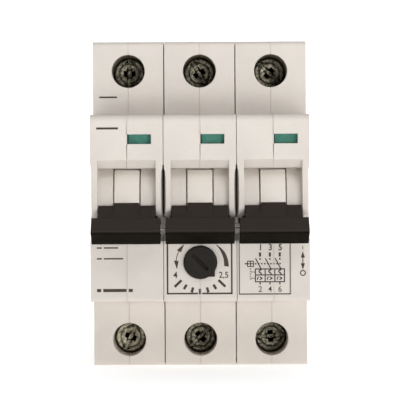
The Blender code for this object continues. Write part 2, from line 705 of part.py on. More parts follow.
def coil_mesh():
    """The short-circuit coil: ribbed turns of wire between the two flanges of its bobbin."""
    bore, valley, crest, flange = COIL_RADII
    back, front = COIL_DEPTH
    wound = front - back - 2 * COIL_FLANGE
    pitch = wound / COIL_TURNS
    profile = [(bore, front), (flange, front), (flange, front - COIL_FLANGE)]
    for turn in range(COIL_TURNS):
        start = front - COIL_FLANGE - turn * pitch
        profile += [(valley, start), (crest, start - pitch / 2)]
    profile += [(valley, back + COIL_FLANGE), (flange, back + COIL_FLANGE), (flange, back)]
    profile += [(bore, back), (bore, front)]
    return clean_mesh(turned("trip_coil", profile, along_depth(0, COIL_HEIGHT)), "trip_coil")


def plunger_mesh():
    """The plunger that the coil drives against the contact arm."""
    body = rod("trip_plunger", PLUNGER_RADIUS, PLUNGER_DEPTH, along_depth(0, COIL_HEIGHT))
    return clean_mesh(body, "trip_plunger")


def bimetal_mesh():
    """The overload strip: the lower terminal's tongue, a shelf and the upright bimetal."""
    bottom = TERMINAL_HEIGHTS["lower"] - CAGE_HALF_HEIGHT + TOUCH
    low, high = BIMETAL_SHELF
    back, front = TONGUE_DEPTH
    outline = [
        (back, bottom), (front, bottom), (front, low), (BIMETAL_FRONT, low), (BIMETAL_FRONT, BIMETAL_TOP),
        (BIMETAL_FRONT - BIMETAL_THICKNESS, BIMETAL_TOP), (BIMETAL_FRONT - BIMETAL_THICKNESS, high),
        (back, high),
    ]
    width = (-TONGUE_HALF_WIDTH, TONGUE_HALF_WIDTH)
    return clean_mesh(side_prism("bimetal_strip", outline, width), "bimetal_strip")


def rail_clip_mesh():
    """The sliding clip: a T-section with a jaw for the rail and a slot for a screwdriver."""
    narrow, wide = (limit - TOUCH for limit in CLIP_SLOT_HALF_WIDTHS)
    front = HOOK_FRONT - BEARING_GAP
    step = CLIP_SLOT_STEP + BEARING_GAP
    body = box("rail_clip", (-wide, wide), (step, front), (CLIP_BOTTOM, CLIP_JAW_HEIGHT))
    back = box("clip_back", (-narrow, narrow), (REAR + BEARING_GAP, step + OVERLAP),
               (CLIP_BOTTOM, CLIP_BACK_TOP))
    half_width, low, high = CLIP_PULL_SLOT
    pull = box("clip_pull_slot", (-half_width, half_width), (REAR - OVERLAP, front + OVERLAP), (low, high))
    return piece(body, added=[back], removed=[pull])


# ---------------------------------------------------------------- pieces shared by the modules

def rivet_mesh(name, centre):
    """A rivet through all three modules, with a flat head sunk into each outer side."""
    head_radius, thickness = RIVET_HEAD
    end = OUTER_SIDE - RIVET_SINK
    seat = end - thickness
    profile = [
        (0, end), (head_radius, end), (head_radius, seat), (RIVET_RADIUS, seat),
        (RIVET_RADIUS, -seat), (head_radius, -seat), (head_radius, -end), (0, -end),
    ]
    return clean_mesh(turned(name, profile, along_width(*centre), RIVET_STEPS), name)


def trip_bar_mesh():
    """The common trip bar with one paddle in each module."""
    ends = (-TRIP_BAR_HALF_LENGTH, TRIP_BAR_HALF_LENGTH)
    shaft = rod("trip_bar", TRIP_BAR_RADIUS, ends, along_width(*TRIP_BAR))
    outline = strip(TRIP_BAR, PADDLE_TIP, PADDLE_WIDTH)
    paddles = [
        side_prism("paddle", outline, (x - PADDLE_HALF_THICKNESS, x + PADDLE_HALF_THICKNESS))
        for x in POLE_CENTRES
    ]
    return piece(shaft, added=paddles)


# ---------------------------------------------------------------- assembly

def add_part(collection, name, mesh, surface, origin, parent=None, smooth=False):
    """Add a finished part whose origin lies on the given point, which is on its joint's axis."""
    if mesh.users == 0:
        mesh.transform(Matrix.Translation(-origin))
        mesh.materials.clear()
        mesh.materials.append(surface)
        if smooth:
            mesh.shade_smooth()
    part = bpy.data.objects.new(name, mesh)
    collection.objects.link(part)
    part.parent = parent
    part.location = origin
    return part


def build_modules(collection, surfaces):
    """Add every piece that each of the three modules holds."""
    housing, light = surfaces["housing"], surfaces["toggle"]
    black, zinc, copper = surfaces["black"], surfaces["zinc"], surfaces["copper"]
    pivot = place(0, *PIVOT)
    shells = shell_meshes()
    repeated = [
        ("toggle", toggle_mesh(), light, pivot),
        ("lever_cap", lever_mesh(), black, pivot),
        ("status_flag", flag_mesh(), surfaces["flag"], place(0, FLAG_DEPTH[0], FLAG_HEIGHT[0])),
        ("fixed_contact", fixed_contact_mesh(), copper, place(0, TONGUE_DEPTH[0], 0)),
        ("contact_arm", contact_arm_mesh(), copper, place(0, *ARM_PIVOT)),
        ("arc_chute", arc_chute_mesh(), surfaces["steel"], place(0, CHUTE_DEPTH[0], 0)),
        ("trip_coil", coil_mesh(), copper, place(0, COIL_DEPTH[0], COIL_HEIGHT)),
        ("trip_plunger", plunger_mesh(), surfaces["steel"], place(0, PLUNGER_DEPTH[0], COIL_HEIGHT)),
        ("bimetal_strip", bimetal_mesh(), surfaces["brass"], place(0, TONGUE_DEPTH[0], BIMETAL_SHELF[0])),
        ("rail_clip", rail_clip_mesh(), black, place(0, REAR, CLIP_JAW_HEIGHT)),
    ]
    for side, height in TERMINAL_HEIGHTS.items():
        on_axis = place(0, SCREW_HEAD[2], height)
        repeated.append((side + "_terminal_screw", screw_mesh(side, height), zinc, on_axis))
        repeated.append((side + "_clamp_cage", cage_mesh(side, height), zinc, on_axis))
    round_pieces = ("toggle", "trip_coil", "trip_plunger")
    for number, centre in enumerate(POLE_CENTRES, start=1):
        pole = bpy.data.objects.new(f"pole_{number}", None)
        pole.location = place(centre, 0, 0)
        collection.objects.link(pole)
        for side in ("left", "right"):
            name = f"pole_{number}_{side}_shell"
            add_part(collection, name, shells[number, side], housing, place(0, 0, 0), pole)
        for name, mesh, surface, origin in repeated:
            add_part(collection, f"pole_{number}_{name}", mesh, surface, origin, pole,
                     smooth=name in round_pieces)


def build_shared(collection, surfaces):
    """Add the pieces that run through all the modules, and the dial."""
    steel = surfaces["steel"]
    add_part(collection, "lever_tie_pin", tie_pin_mesh(), steel, place(0, *PIVOT))
    add_part(collection, "trip_bar", trip_bar_mesh(), surfaces["black"], place(0, *TRIP_BAR))
    add_part(collection, "current_dial", dial_mesh(), surfaces["black"], place(0, DIAL_FACE, DIAL_HEIGHT))
    for name, centre in RIVETS.items():
        add_part(collection, name, rivet_mesh(name, centre), steel, place(0, *centre))


def main():
    """Build the whole breaker."""
    parts, _ = clear_scene()
    surfaces = {
        "housing": material("housing_plastic", (0.74, 0.68, 0.62), 0.45),
        "toggle": material("toggle_plastic", (0.70, 0.64, 0.58), 0.4),
        "black": material("black_plastic", (0.03, 0.027, 0.024), 0.4),
        "flag": material("flag_green", (0.06, 0.2, 0.16), 0.5),
        "zinc": material("zinc_plate", (0.22, 0.21, 0.18), 0.4, 1.0),
        "copper": material("copper", (0.75, 0.42, 0.28), 0.35, 1.0),
        "brass": material("bimetal", (0.62, 0.55, 0.38), 0.4, 1.0),
        "steel": material("steel", (0.55, 0.55, 0.54), 0.35, 1.0),
    }
    build_modules(parts, surfaces)
    build_shared(parts, surfaces)


main()
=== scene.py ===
"""The looks of a three-pole motor protection breaker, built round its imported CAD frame.

The housing, levers, toggles, dial, screws and clips are remodelled here with rounded edges and
finer curves, and the printed scale and circuit diagram are added as thin raised ink. The
mechanism inside keeps its CAD solids, with their edges broken and their own metals.
Lengths are named in millimetres; X runs right, Z up, and depth forwards from the rail (-Y).
"""

import json
import math

import bmesh
import bpy
from mathutils import Matrix, Vector


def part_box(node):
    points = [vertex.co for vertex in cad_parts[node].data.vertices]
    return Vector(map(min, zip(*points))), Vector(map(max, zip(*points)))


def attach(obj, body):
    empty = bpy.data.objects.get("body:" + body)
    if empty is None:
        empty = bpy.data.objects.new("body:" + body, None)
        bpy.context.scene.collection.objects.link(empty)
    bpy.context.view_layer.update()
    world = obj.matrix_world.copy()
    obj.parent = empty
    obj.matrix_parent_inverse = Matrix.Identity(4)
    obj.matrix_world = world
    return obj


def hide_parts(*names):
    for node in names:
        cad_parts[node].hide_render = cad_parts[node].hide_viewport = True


MM = 0.001
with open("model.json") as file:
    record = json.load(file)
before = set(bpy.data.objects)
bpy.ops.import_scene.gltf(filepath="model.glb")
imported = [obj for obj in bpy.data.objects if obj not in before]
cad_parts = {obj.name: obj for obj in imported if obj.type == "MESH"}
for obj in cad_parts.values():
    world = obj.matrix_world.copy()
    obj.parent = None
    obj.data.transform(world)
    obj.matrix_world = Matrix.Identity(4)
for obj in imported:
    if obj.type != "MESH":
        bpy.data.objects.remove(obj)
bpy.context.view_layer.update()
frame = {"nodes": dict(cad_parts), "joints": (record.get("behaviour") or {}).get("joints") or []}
JOINTS = {joint["name"]: joint for joint in frame["joints"]}


def joint_place(name):
    """A joint's place as millimetres to the right, forwards and up."""
    x, y, z = JOINTS[name]["pos_m"]
    return x / MM, -y / MM, z / MM


def node_limits(node):
    """A CAD node's limits in millimetres: its x range, its depth range and its height range."""
    low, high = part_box(node)
    return (low.x / MM, high.x / MM), (-high.y / MM, -low.y / MM), (low.z / MM, high.z / MM)


def node_axis(node):
    """The depth and the height in the middle of a CAD node that lies across the modules."""
    _, depths, heights = node_limits(node)
    return sum(depths) / 2, sum(heights) / 2


# ---------------------------------------------------------------- driving dimensions, from the frame

POLES = (1, 2, 3)
(_, POLE_HALF_WIDTH), (REAR, NOSE), (BOTTOM, TOP) = node_limits("pole_2_right_shell")
POLE_CENTRE = {
    pole: (node_limits(f"pole_{pole}_left_shell")[0][0] + node_limits(f"pole_{pole}_right_shell")[0][1]) / 2
    for pole in POLES
}
PIVOT = joint_place("handle_throw")[1:]
ARM_PIVOT = joint_place("contact_arm_2_swing")[1:]
TRIP_BAR = joint_place("trip_bar_turn")[1:]
_, DIAL_FACE, DIAL_HEIGHT = joint_place("dial_turn")
TERMINAL_HEIGHTS = {side: joint_place(f"{side}_screw_2_turn")[2] for side in ("upper", "lower")}
SCREW_FACE = joint_place("upper_screw_2_turn")[1]
RIVETS = ("upper_rear_rivet", "lower_rear_rivet", "upper_front_rivet", "lower_front_rivet")

# A module's side outline, walls, seams and edges
SHOULDER = 44.0
NOSE_HALF_HEIGHT = 22.5
TOP_EDGE_RADIUS, BOTTOM_EDGE_RADIUS = 1.2, 0.6
NOSE_TOP_RADIUS, NOSE_BOTTOM_RADIUS = 1.7, 1.1
NOSE_WALL = 1.6
REAR_EDGE_RADIUS = 0.8
RAIL_HALF_OPENING = 17.8
SEAT_HALF_HEIGHT = 15.4
SEAT_RELIEF = 0.3
HOOK_FRONT, HOOK_HEIGHT = -1.4, 15.8
SIDE_WALL = 1.3
CHAMBER_HALF_WIDTH = POLE_HALF_WIDTH - SIDE_WALL
SOCKET_DEPTH = 0.8
SKIN_HALF_WIDTH = POLE_HALF_WIDTH + 0.1
SEAM_HALF_LINE = 0.006
SEAM_EDGE_RADIUS = 0.02
OUTER_EDGE_RADIUS = 0.6
JOINT_EDGE_RADIUS = 0.2
MOUTH_EDGE_RADIUS = 0.45
CUT_EDGE_RADIUS = 0.13
BODY_GAPS = (0.06, 0.015)
OVERLAP = 0.5
BEARING_GAP = 0.2
ARM_SOCKET_RADIUS = 1.4
TRIP_BAR_HOLE_RADIUS = 1.8
RIVET_HOLE_RADIUS, RIVET_SEAT_RADIUS = 1.7, 2.7

# The handle channel
CHANNEL_HALF_WIDTH = 7.0
CHANNEL_HALF_HEIGHT = 9.5
BAND_HEIGHT = 2.0
BAND_DEPTH = 58.2
FLOOR_RADIUS = 9.0
FLOOR_WALL = 1.4
NOTCH_DEPTH = 55.0
NOTCH_TOP, NOTCH_BOTTOM = -1.9, -6.9
NOTCH_ROUND = 1.6
HUB_RADIUS = 9.6
HUB_HALF_WIDTH = 3.03
HUB_SIDE_GAP = 0.25
AXLE_RADIUS = 2.0

# The window
WINDOW_X = (0.05, 5.9)
WINDOW_HEIGHT = (15.4, 17.7)
FLAG_CHAMBER = (12.3, 20.95)

# The dial
DIAL_RADIUS, DIAL_GAP = 3.88, 0.14
DIAL_FLANGE_RADIUS, DIAL_SHAFT_RADIUS = 4.8, 2.0
DIAL_FLANGE_DEPTH = (56.4, 58.1)
DIAL_SHAFT_END = 43.0

# The terminals, and where the painted shade in their screwdriver holes starts and is full
SCREW_HOLE_RADIUS = 4.05
SCREW_NECK_RADIUS = 2.75
NECK_DEPTH = (29.0, 30.2)
# Painted shade in the screwdriver holes: for each side, the depth where it starts and the depth where it is
# full, then its brown colour. The upper holes darken from their mouths and the lower ones only further
# down.
HOLE_SHADE_DEPTHS = {"upper": (SHOULDER - 0.3, 42.2), "lower": (37.0, 31.5)}
HOLE_SHADE = (0.20, 0.165, 0.105)
POCKET_HALF_WIDTH = 5.3
POCKET_DEPTH = (9.5, 29.0)
POCKET_HALF_HEIGHT = 4.5
WIRE_HALF_WIDTH = 4.4
WIRE_DEPTH = (11.6, 18.7)
TONGUE_SLOT_DEPTH = (18.45, 20.65)
TONGUE_SLOT_HALF_WIDTH = 3.35
CHAMBER_BACK = 2.0
CHAMBER_HALF_HEIGHT = 20.8

# The rail clip's slot
CLIP_SLOT_STEP = -3.8
CLIP_SLOT_HALF_WIDTHS = (4.5, 5.6)

# Printing
INK_THICKNESS = 0.03
INK_LINE = 0.39
DIGIT_HEIGHT = 1.5

# Steps in a full turn
COARSE, MEDIUM, FINE, FINER, FINEST = 24, 32, 48, 96, 128


# ---------------------------------------------------------------- shape helpers

def place(x, depth, height):
    """Turn millimetres to the right, forwards and up into a point in metres."""
    return Vector((x, -depth, height)) * MM


def centred(half):
    """The two limits of a width centred on zero."""
    return -half, half


def turned_point(centre, radius, angle):
    """A point at a radius and an angle; 0 degrees runs along the first axis and 90 along the second."""
    turn = math.radians(angle)
    return centre[0] + radius * math.cos(turn), centre[1] + radius * math.sin(turn)


def arc(centre, radius, start, end, steps=8):
    """Points on an arc between two angles."""
    return [turned_point(centre, radius, start + (end - start) * step / steps) for step in range(steps + 1)]


def rounded_rectangle(across, up, radius):
    """A rectangle with round corners between two limits each way."""
    left, right = across[0] + radius, across[1] - radius
    low, high = up[0] + radius, up[1] - radius
    outline = []
    for centre, start in (((left, low), 180), ((right, low), 270), ((right, high), 0), ((left, high), 90)):
        outline += arc(centre, radius, start, start + 90, 6)
    return outline


def mirrored(half):
    """A whole turning profile from its half at one end of the axis."""
    return half + [(radius, -along) for radius, along in reversed(half)]


def strip(start, end, width):
    """The four corners of a straight bar between two points."""
    along = (Vector(end) - Vector(start)).normalized()
    across = Vector((-along.y, along.x)) * width / 2
    first, last = Vector(start), Vector(end)
    return [tuple(point) for point in (first - across, last - across, last + across, first + across)]


def add_object(name, data):
    """Put a mesh, curve, text, light or camera in the scene."""
    made = bpy.data.objects.new(name, data)
    bpy.context.scene.collection.objects.link(made)
    return made


def settled(source):
    """Replace an object by one that holds its evaluated shape, welded and facing out."""
    bpy.context.view_layer.update()
    evaluated = source.evaluated_get(bpy.context.evaluated_depsgraph_get())
    mesh = bpy.data.meshes.new_from_object(evaluated)
    mesh.transform(source.matrix_world)
    shape = bmesh.new()
    shape.from_mesh(mesh)
    bmesh.ops.remove_doubles(shape, verts=shape.verts, dist=0.00001 * MM)
    bmesh.ops.dissolve_limit(shape, angle_limit=math.radians(0.05), verts=shape.verts, edges=shape.edges)
    bmesh.ops.recalc_face_normals(shape, faces=shape.faces)
    shape.to_mesh(mesh)
    shape.free()
    name = source.name
    bpy.data.objects.remove(source)
    return add_object(name, mesh)


def mesh_object(name, shape):
    """Make an object from a shape, with its faces turned out."""
    bmesh.ops.recalc_face_normals(shape, faces=shape.faces)
    mesh = bpy.data.meshes.new(name)
    shape.to_mesh(mesh)
    shape.free()
    return add_object(name, mesh)


def box(name, x_range, depth_range, height_range):
    """A box between two limits on each axis."""
    low = place(x_range[0], depth_range[1], height_range[0])
    high = place(x_range[1], depth_range[0], height_range[1])
    shape = bmesh.new()
    bmesh.ops.create_cube(shape, size=1.0)
    bmesh.ops.scale(shape, vec=high - low, verts=shape.verts)
    bmesh.ops.translate(shape, vec=(low + high) / 2, verts=shape.verts)
    return mesh_object(name, shape)


def prism(name, outlines, thickness, matrix):
    """Extrude closed outlines, holes among them, centred on the plane that the matrix gives."""
    curve = bpy.data.curves.new(name, "CURVE")
    curve.dimensions = "2D"
    curve.fill_mode = "BOTH"
    curve.extrude = thickness * MM / 2
    for outline in outlines:
        spline = curve.splines.new("POLY")
        spline.points.add(len(outline) - 1)
        for point, (across, up) in zip(spline.points, outline):
            point.co = (across * MM, up * MM, 0.0, 1.0)
        spline.use_cyclic_u = True
    carrier = add_object(name, curve)
    carrier.matrix_world = matrix
    return settled(carrier)


def side_prism(name, outline, x_range):
    """Extrude a depth-height outline across the width, between two x limits."""
    turn = Matrix(((0, 0, -1), (-1, 0, 0), (0, 1, 0))).to_4x4()
    centre = Matrix.Translation(place((x_range[0] + x_range[1]) / 2, 0, 0))
    return prism(name, [outline], x_range[1] - x_range[0], centre @ turn)


def front_prism(name, outlines, depth_range):
    """Extrude x-height outlines along the depth, between two depths."""
    turn = Matrix(((1, 0, 0), (0, 0, -1), (0, 1, 0))).to_4x4()
    centre = Matrix.Translation(place(0, (depth_range[0] + depth_range[1]) / 2, 0))
    return prism(name, outlines, depth_range[1] - depth_range[0], centre @ turn)


def turned(name, profile, matrix, steps=MEDIUM):
    """Turn a (radius, distance along the axis) profile about the matrix's Z axis."""
    mesh = bpy.data.meshes.new(name)
    points = [(radius * MM, 0.0, along * MM) for radius, along in profile]
    mesh.from_pydata(points, [(index, index + 1) for index in range(len(points) - 1)], [])
    carrier = add_object(name, mesh)
    carrier.matrix_world = matrix
    screw = carrier.modifiers.new("turn", "SCREW")
    screw.steps = steps
    screw.render_steps = steps
    screw.use_merge_vertices = True
    screw.merge_threshold = 0.001 * MM
    return settled(carrier)


def along_depth(x, height):
    """A frame at the rail plane whose Z axis runs forwards."""
    return Matrix.Translation(place(x, 0, height)) @ Matrix.Rotation(math.radians(90), 4, "X")


def along_width(depth, height):
    """A frame on the centre plane whose Z axis runs to the right."""
    return Matrix.Translation(place(0, depth, height)) @ Matrix.Rotation(math.radians(90), 4, "Y")


def rod(name, radius, ends, matrix, steps=MEDIUM):
    """A plain round bar between two distances along the matrix's Z axis."""
    profile = [(0, ends[1]), (radius, ends[1]), (radius, ends[0]), (0, ends[0])]
    return turned(name, profile, matrix, steps)


def discard(shapes):
    """Remove the shapes that are finished with."""
    for shape in shapes:
        bpy.data.objects.remove(shape)


def joined(target, added=(), removed=(), kept=()):
    """Join and cut a shape with other shapes, which are used up; those in kept cut and stay."""
    for operation, tools in (("UNION", added), ("DIFFERENCE", (*kept, *removed))):
        for tool in tools:
            modifier = target.modifiers.new(tool.name, "BOOLEAN")
            modifier.operation = operation
            modifier.solver = "EXACT"
            modifier.object = tool
    result = settled(target)
    discard((*added, *removed))
    return result


def round_edges(target, chosen, width, segments):
    """Round the edges that a test picks, straight in the mesh."""
    shape = bmesh.new()
    shape.from_mesh(target.data)
    edges = [edge for edge in shape.edges if chosen(edge)]
    bmesh.ops.bevel(
        shape, geom=edges, offset=width * MM, offset_type="OFFSET", segments=segments,
        profile=0.5, affect="EDGES", clamp_overlap=True,
    )
    bmesh.ops.recalc_face_normals(shape, faces=shape.faces)
    shape.to_mesh(target.data)
    shape.free()


def smooth(piece, angle):
    """Shade a piece smooth, apart from edges sharper than an angle."""
    piece.data.shade_smooth()
    piece.data.set_sharp_from_angle(angle=math.radians(angle))


def soften(target, width, segments=2, angle=40):
    """Round every edge sharper than an angle, and shade the rest smooth."""
    bevel = target.modifiers.new("edges", "BEVEL")
    bevel.width = width * MM
    bevel.segments = segments
    bevel.limit_method = "ANGLE"
    bevel.angle_limit = math.radians(angle)
    bevel.use_clamp_overlap = False
    bevel.miter_outer = "MITER_ARC"
    target = settled(target)
    smooth(target, 30)
    return target


def even_shading(piece):
    """Let the large faces lead the shading, so that narrow rounded edges don't bend it."""
    shading = piece.modifiers.new("shading", "WEIGHTED_NORMAL")
    shading.keep_sharp = True


def copy_at(source, name, centre):
    """A linked copy of a module's piece, moved to a module's centre."""
    made = add_object(name, source.data)
    made.location = place(centre, 0, 0)
    return made


# ---------------------------------------------------------------- materials

class Nodes:
    """A short way to write a node tree."""

    def __init__(self, name):
        self.material = bpy.data.materials.new(name)
        self.material.use_nodes = True
        self.tree = self.material.node_tree
        self.shader = self.tree.nodes["Principled BSDF"]
        self.place = self.add("ShaderNodeTexCoord").outputs["Object"]

    def put(self, socket, value):
        """Link a socket to another, or set it to a number, a vector or a colour."""
        if isinstance(value, bpy.types.NodeSocket):
            self.tree.links.new(value, socket)
        elif socket.type == "RGBA":
            socket.default_value = (*value, 1.0)
        else:
            socket.default_value = value

    def add(self, kind, inputs=None, **settings):
        """Add a node, set its properties, and set or link its inputs."""
        node = self.tree.nodes.new(kind)
        for key, value in settings.items():
            setattr(node, key, value)
        for key, value in (inputs or {}).items():
            self.put(node.inputs[key], value)
        return node

    def noise(self, size, detail=2.0, roughness=0.5, stretch=None):
        """Noise whose features are about size millimetres across."""
        coordinates = self.place
        if stretch:
            scaled = self.add("ShaderNodeMapping", {"Vector": coordinates, "Scale": stretch})
            coordinates = scaled.outputs["Vector"]
        inputs = {"Vector": coordinates, "Scale": 1 / (size * MM), "Detail": detail, "Roughness": roughness}
        return self.add("ShaderNodeTexNoise", inputs).outputs["Fac"]

    def ramp(self, factor, stops):
        """A colour ramp through (position, colour) stops."""
        node = self.add("ShaderNodeValToRGB", {"Fac": factor})
        elements = node.color_ramp.elements
        while len(elements) < len(stops):
            elements.new(0.5)
        for element, (position, colour) in zip(elements, stops):
            element.position = position
            element.color = (*colour, 1.0)
        return node.outputs["Color"]

    def span(self, factor, low, high, start=0.3, end=0.7):
        """Map a factor's useful middle onto a range of values."""
        inputs = {"Value": factor, "From Min": start, "From Max": end, "To Min": low, "To Max": high}
        return self.add("ShaderNodeMapRange", inputs).outputs["Result"]

    def axis(self, name, vector=None):
        """One coordinate of a vector, or of the place in the object."""
        return self.add("ShaderNodeSeparateXYZ", {"Vector": vector or self.place}).outputs[name]

    def calculate(self, operation, first, second, **settings):
        """Add, multiply or compare two values."""
        return self.add("ShaderNodeMath", {0: first, 1: second}, operation=operation, **settings).outputs[0]

    def mix(self, factor, first, second):
        """Mix two colours."""
        node = self.add("ShaderNodeMix", data_type="RGBA")
        inputs = {socket.identifier: socket for socket in node.inputs}
        for name, value in (("Factor_Float", factor), ("A_Color", first), ("B_Color", second)):
            self.put(inputs[name], value)
        return next(socket for socket in node.outputs if socket.identifier == "Result_Color")

    def bump(self, height, distance, strength, under=None):
        """Turn a height into a normal, on top of another bump if one is given."""
        inputs = {"Height": height, "Distance": distance * MM, "Strength": strength}
        if under:
            inputs["Normal"] = under
        return self.add("ShaderNodeBump", inputs).outputs["Normal"]

    def finish(self, colour, roughness, normal, specular=0.5, metallic=0.0):
        """Connect the surface."""
        values = {
            "Base Color": colour, "Roughness": roughness, "Normal": normal,
            "Specular IOR Level": specular, "Metallic": metallic,
        }
        for name, value in values.items():
            self.put(self.shader.inputs[name], value)
        return self.material


def scaled(colour, factor):
    """A colour made lighter or darker."""
    return tuple(min(1.0, channel * factor) for channel in colour)


def paint_shade_in_holes(nodes, base):
    """Paint shade into the screwdriver holes in uneven patches, each hole from none at one depth to full at
    a deeper one.
    """
    reach, fade, blur = SCREW_HOLE_RADIUS + 0.3, 0.1, 0.3
    in_front = {0: nodes.place, 1: (1.0, 0.0, 1.0)}
    flat = nodes.add("ShaderNodeVectorMath", in_front, operation="MULTIPLY").outputs["Vector"]
    depth = nodes.axis("Y")
    patches = nodes.span(nodes.noise(1.3, 3.0, 0.6), -0.35, 0.35)
    neck = NECK_DEPTH[0]
    ahead = nodes.span(depth, 1.0, 0.0, -neck * MM, (1.0 - neck) * MM)
    for side, height in TERMINAL_HEIGHTS.items():
        shade_start, full = HOLE_SHADE_DEPTHS[side]
        ends = {0: flat, 1: (0.0, 0.0, height * MM)}
        spread = nodes.add("ShaderNodeVectorMath", ends, operation="DISTANCE").outputs["Value"]
        near = nodes.span(spread, 1.0, 0.0, reach * MM, (reach + fade) * MM)
        inside = nodes.calculate("MULTIPLY", near, ahead)
        sunk = nodes.span(depth, 0.0, 1.0, -shade_start * MM, -full * MM)
        sunk = nodes.calculate("ADD", sunk, patches, use_clamp=True)
        edge = nodes.span(depth, 0.0, 1.0, -shade_start * MM, (blur - shade_start) * MM)
        cover = nodes.calculate("MULTIPLY", nodes.calculate("MULTIPLY", sunk, edge), inside)
        base = nodes.mix(cover, base, HOLE_SHADE)
    return base


def moulded_plastic(name, colour, grain=0.16, roughness=(0.42, 0.56), specular=0.4, shaded_holes=False):
    """Light moulded plastic: a spark-eroded grain, faint cloudiness and slight handling marks."""
    nodes = Nodes(name)
    cloud = nodes.noise(9.0, 3.0, 0.6)
    base = nodes.ramp(cloud, [(0.3, scaled(colour, 0.965)), (0.7, scaled(colour, 1.025))])
    specks = nodes.span(nodes.noise(0.7, 1.0, 0.4), 0.0, 0.35, 0.62, 0.80)
    handled = tuple(channel * factor for channel, factor in zip(colour, (0.90, 0.89, 0.87)))
    base = nodes.mix(specks, base, handled)
    # Painted shade that darkens the screwdriver holes with depth
    if shaded_holes:
        base = paint_shade_in_holes(nodes, base)
    rough = nodes.span(nodes.noise(2.2, 3.0, 0.6), *roughness)
    grains = nodes.bump(nodes.noise(grain, 2.0, 0.6), 0.010, 0.45)
    waves = nodes.bump(nodes.noise(3.5, 2.0, 0.5), 0.02, 0.25, grains)
    return nodes.finish(base, rough, waves, specular)


def black_plastic(name, colour, roughness=(0.42, 0.56), specular=0.12, painted_top_light=None):
    """Black glass-filled plastic with a satin skin, faint flow marks and painted light that lightens its
    upward faces.
    """
    nodes = Nodes(name)
    base = nodes.ramp(nodes.noise(4.0, 4.0, 0.6), [(0.35, colour), (0.75, scaled(colour, 1.35))])
    # Painted light: faces that turn upwards get a lighter colour, as if lit from above
    if painted_top_light:
        upward = nodes.axis("Z", nodes.add("ShaderNodeTexCoord").outputs["Normal"])
        base = nodes.mix(nodes.span(upward, 0.0, 1.0, -0.3, 0.35), base, painted_top_light)
    rough = nodes.span(nodes.noise(1.1, 4.0, 0.6), *roughness)
    flow = nodes.bump(nodes.noise(1.2, 3.0, 0.6, (0.25, 1.0, 1.0)), 0.012, 0.35)
    skin = nodes.bump(nodes.noise(0.12, 2.0, 0.6), 0.008, 0.5, flow)
    return nodes.finish(base, rough, skin, specular)


def worn_metal(name, colour, dark, size=1.2, roughness=(0.28, 0.5), cover=(0.4, 0.65), metallic=1.0):
    """Plated or bare metal with darker stains and fine tool marks."""
    nodes = Nodes(name)
    stain = nodes.noise(size, 4.0, 0.65)
    base = nodes.ramp(stain, [(cover[0], dark), (cover[1], colour)])
    rough = nodes.span(nodes.noise(size * 0.6, 3.0, 0.6), *roughness)
    marks = nodes.bump(nodes.noise(0.15, 3.0, 0.7, (1.0, 1.0, 3.0)), 0.01, 0.4)
    dents = nodes.bump(nodes.noise(0.9, 2.0, 0.5), 0.03, 0.4, marks)
    return nodes.finish(base, rough, dents, metallic=metallic)


def ink(name, colour):
    """Pad-printed ink: slightly uneven in cover, with a dull skin."""
    nodes = Nodes(name)
    cover = nodes.noise(0.35, 3.0, 0.6)
    base = nodes.ramp(cover, [(0.35, colour), (0.8, scaled(colour, 1.7))])
    skin = nodes.bump(nodes.noise(0.12, 2.0, 0.6), 0.004, 0.4)
    return nodes.finish(base, nodes.span(cover, 0.45, 0.6), skin, specular=0.3)


def flag_plastic(name):
    """The flag's two printed fields, green above and red below, split at half its height."""
    nodes = Nodes(name)
    middle = sum(node_limits("pole_2_status_flag")[2]) / 2 * MM
    side = nodes.calculate("GREATER_THAN", nodes.axis("Z"), middle)
    cloud = nodes.noise(1.2, 3.0, 0.6)
    green = nodes.ramp(cloud, [(0.3, (0.056, 0.208, 0.158)), (0.75, (0.092, 0.285, 0.218))])
    red = nodes.ramp(cloud, [(0.3, (0.36, 0.020, 0.015)), (0.75, (0.46, 0.035, 0.025))])
    skin = nodes.bump(nodes.noise(0.2, 2.0, 0.6), 0.006, 0.4)
    return nodes.finish(nodes.mix(side, red, green), nodes.span(cloud, 0.45, 0.6), skin, specular=0.15)


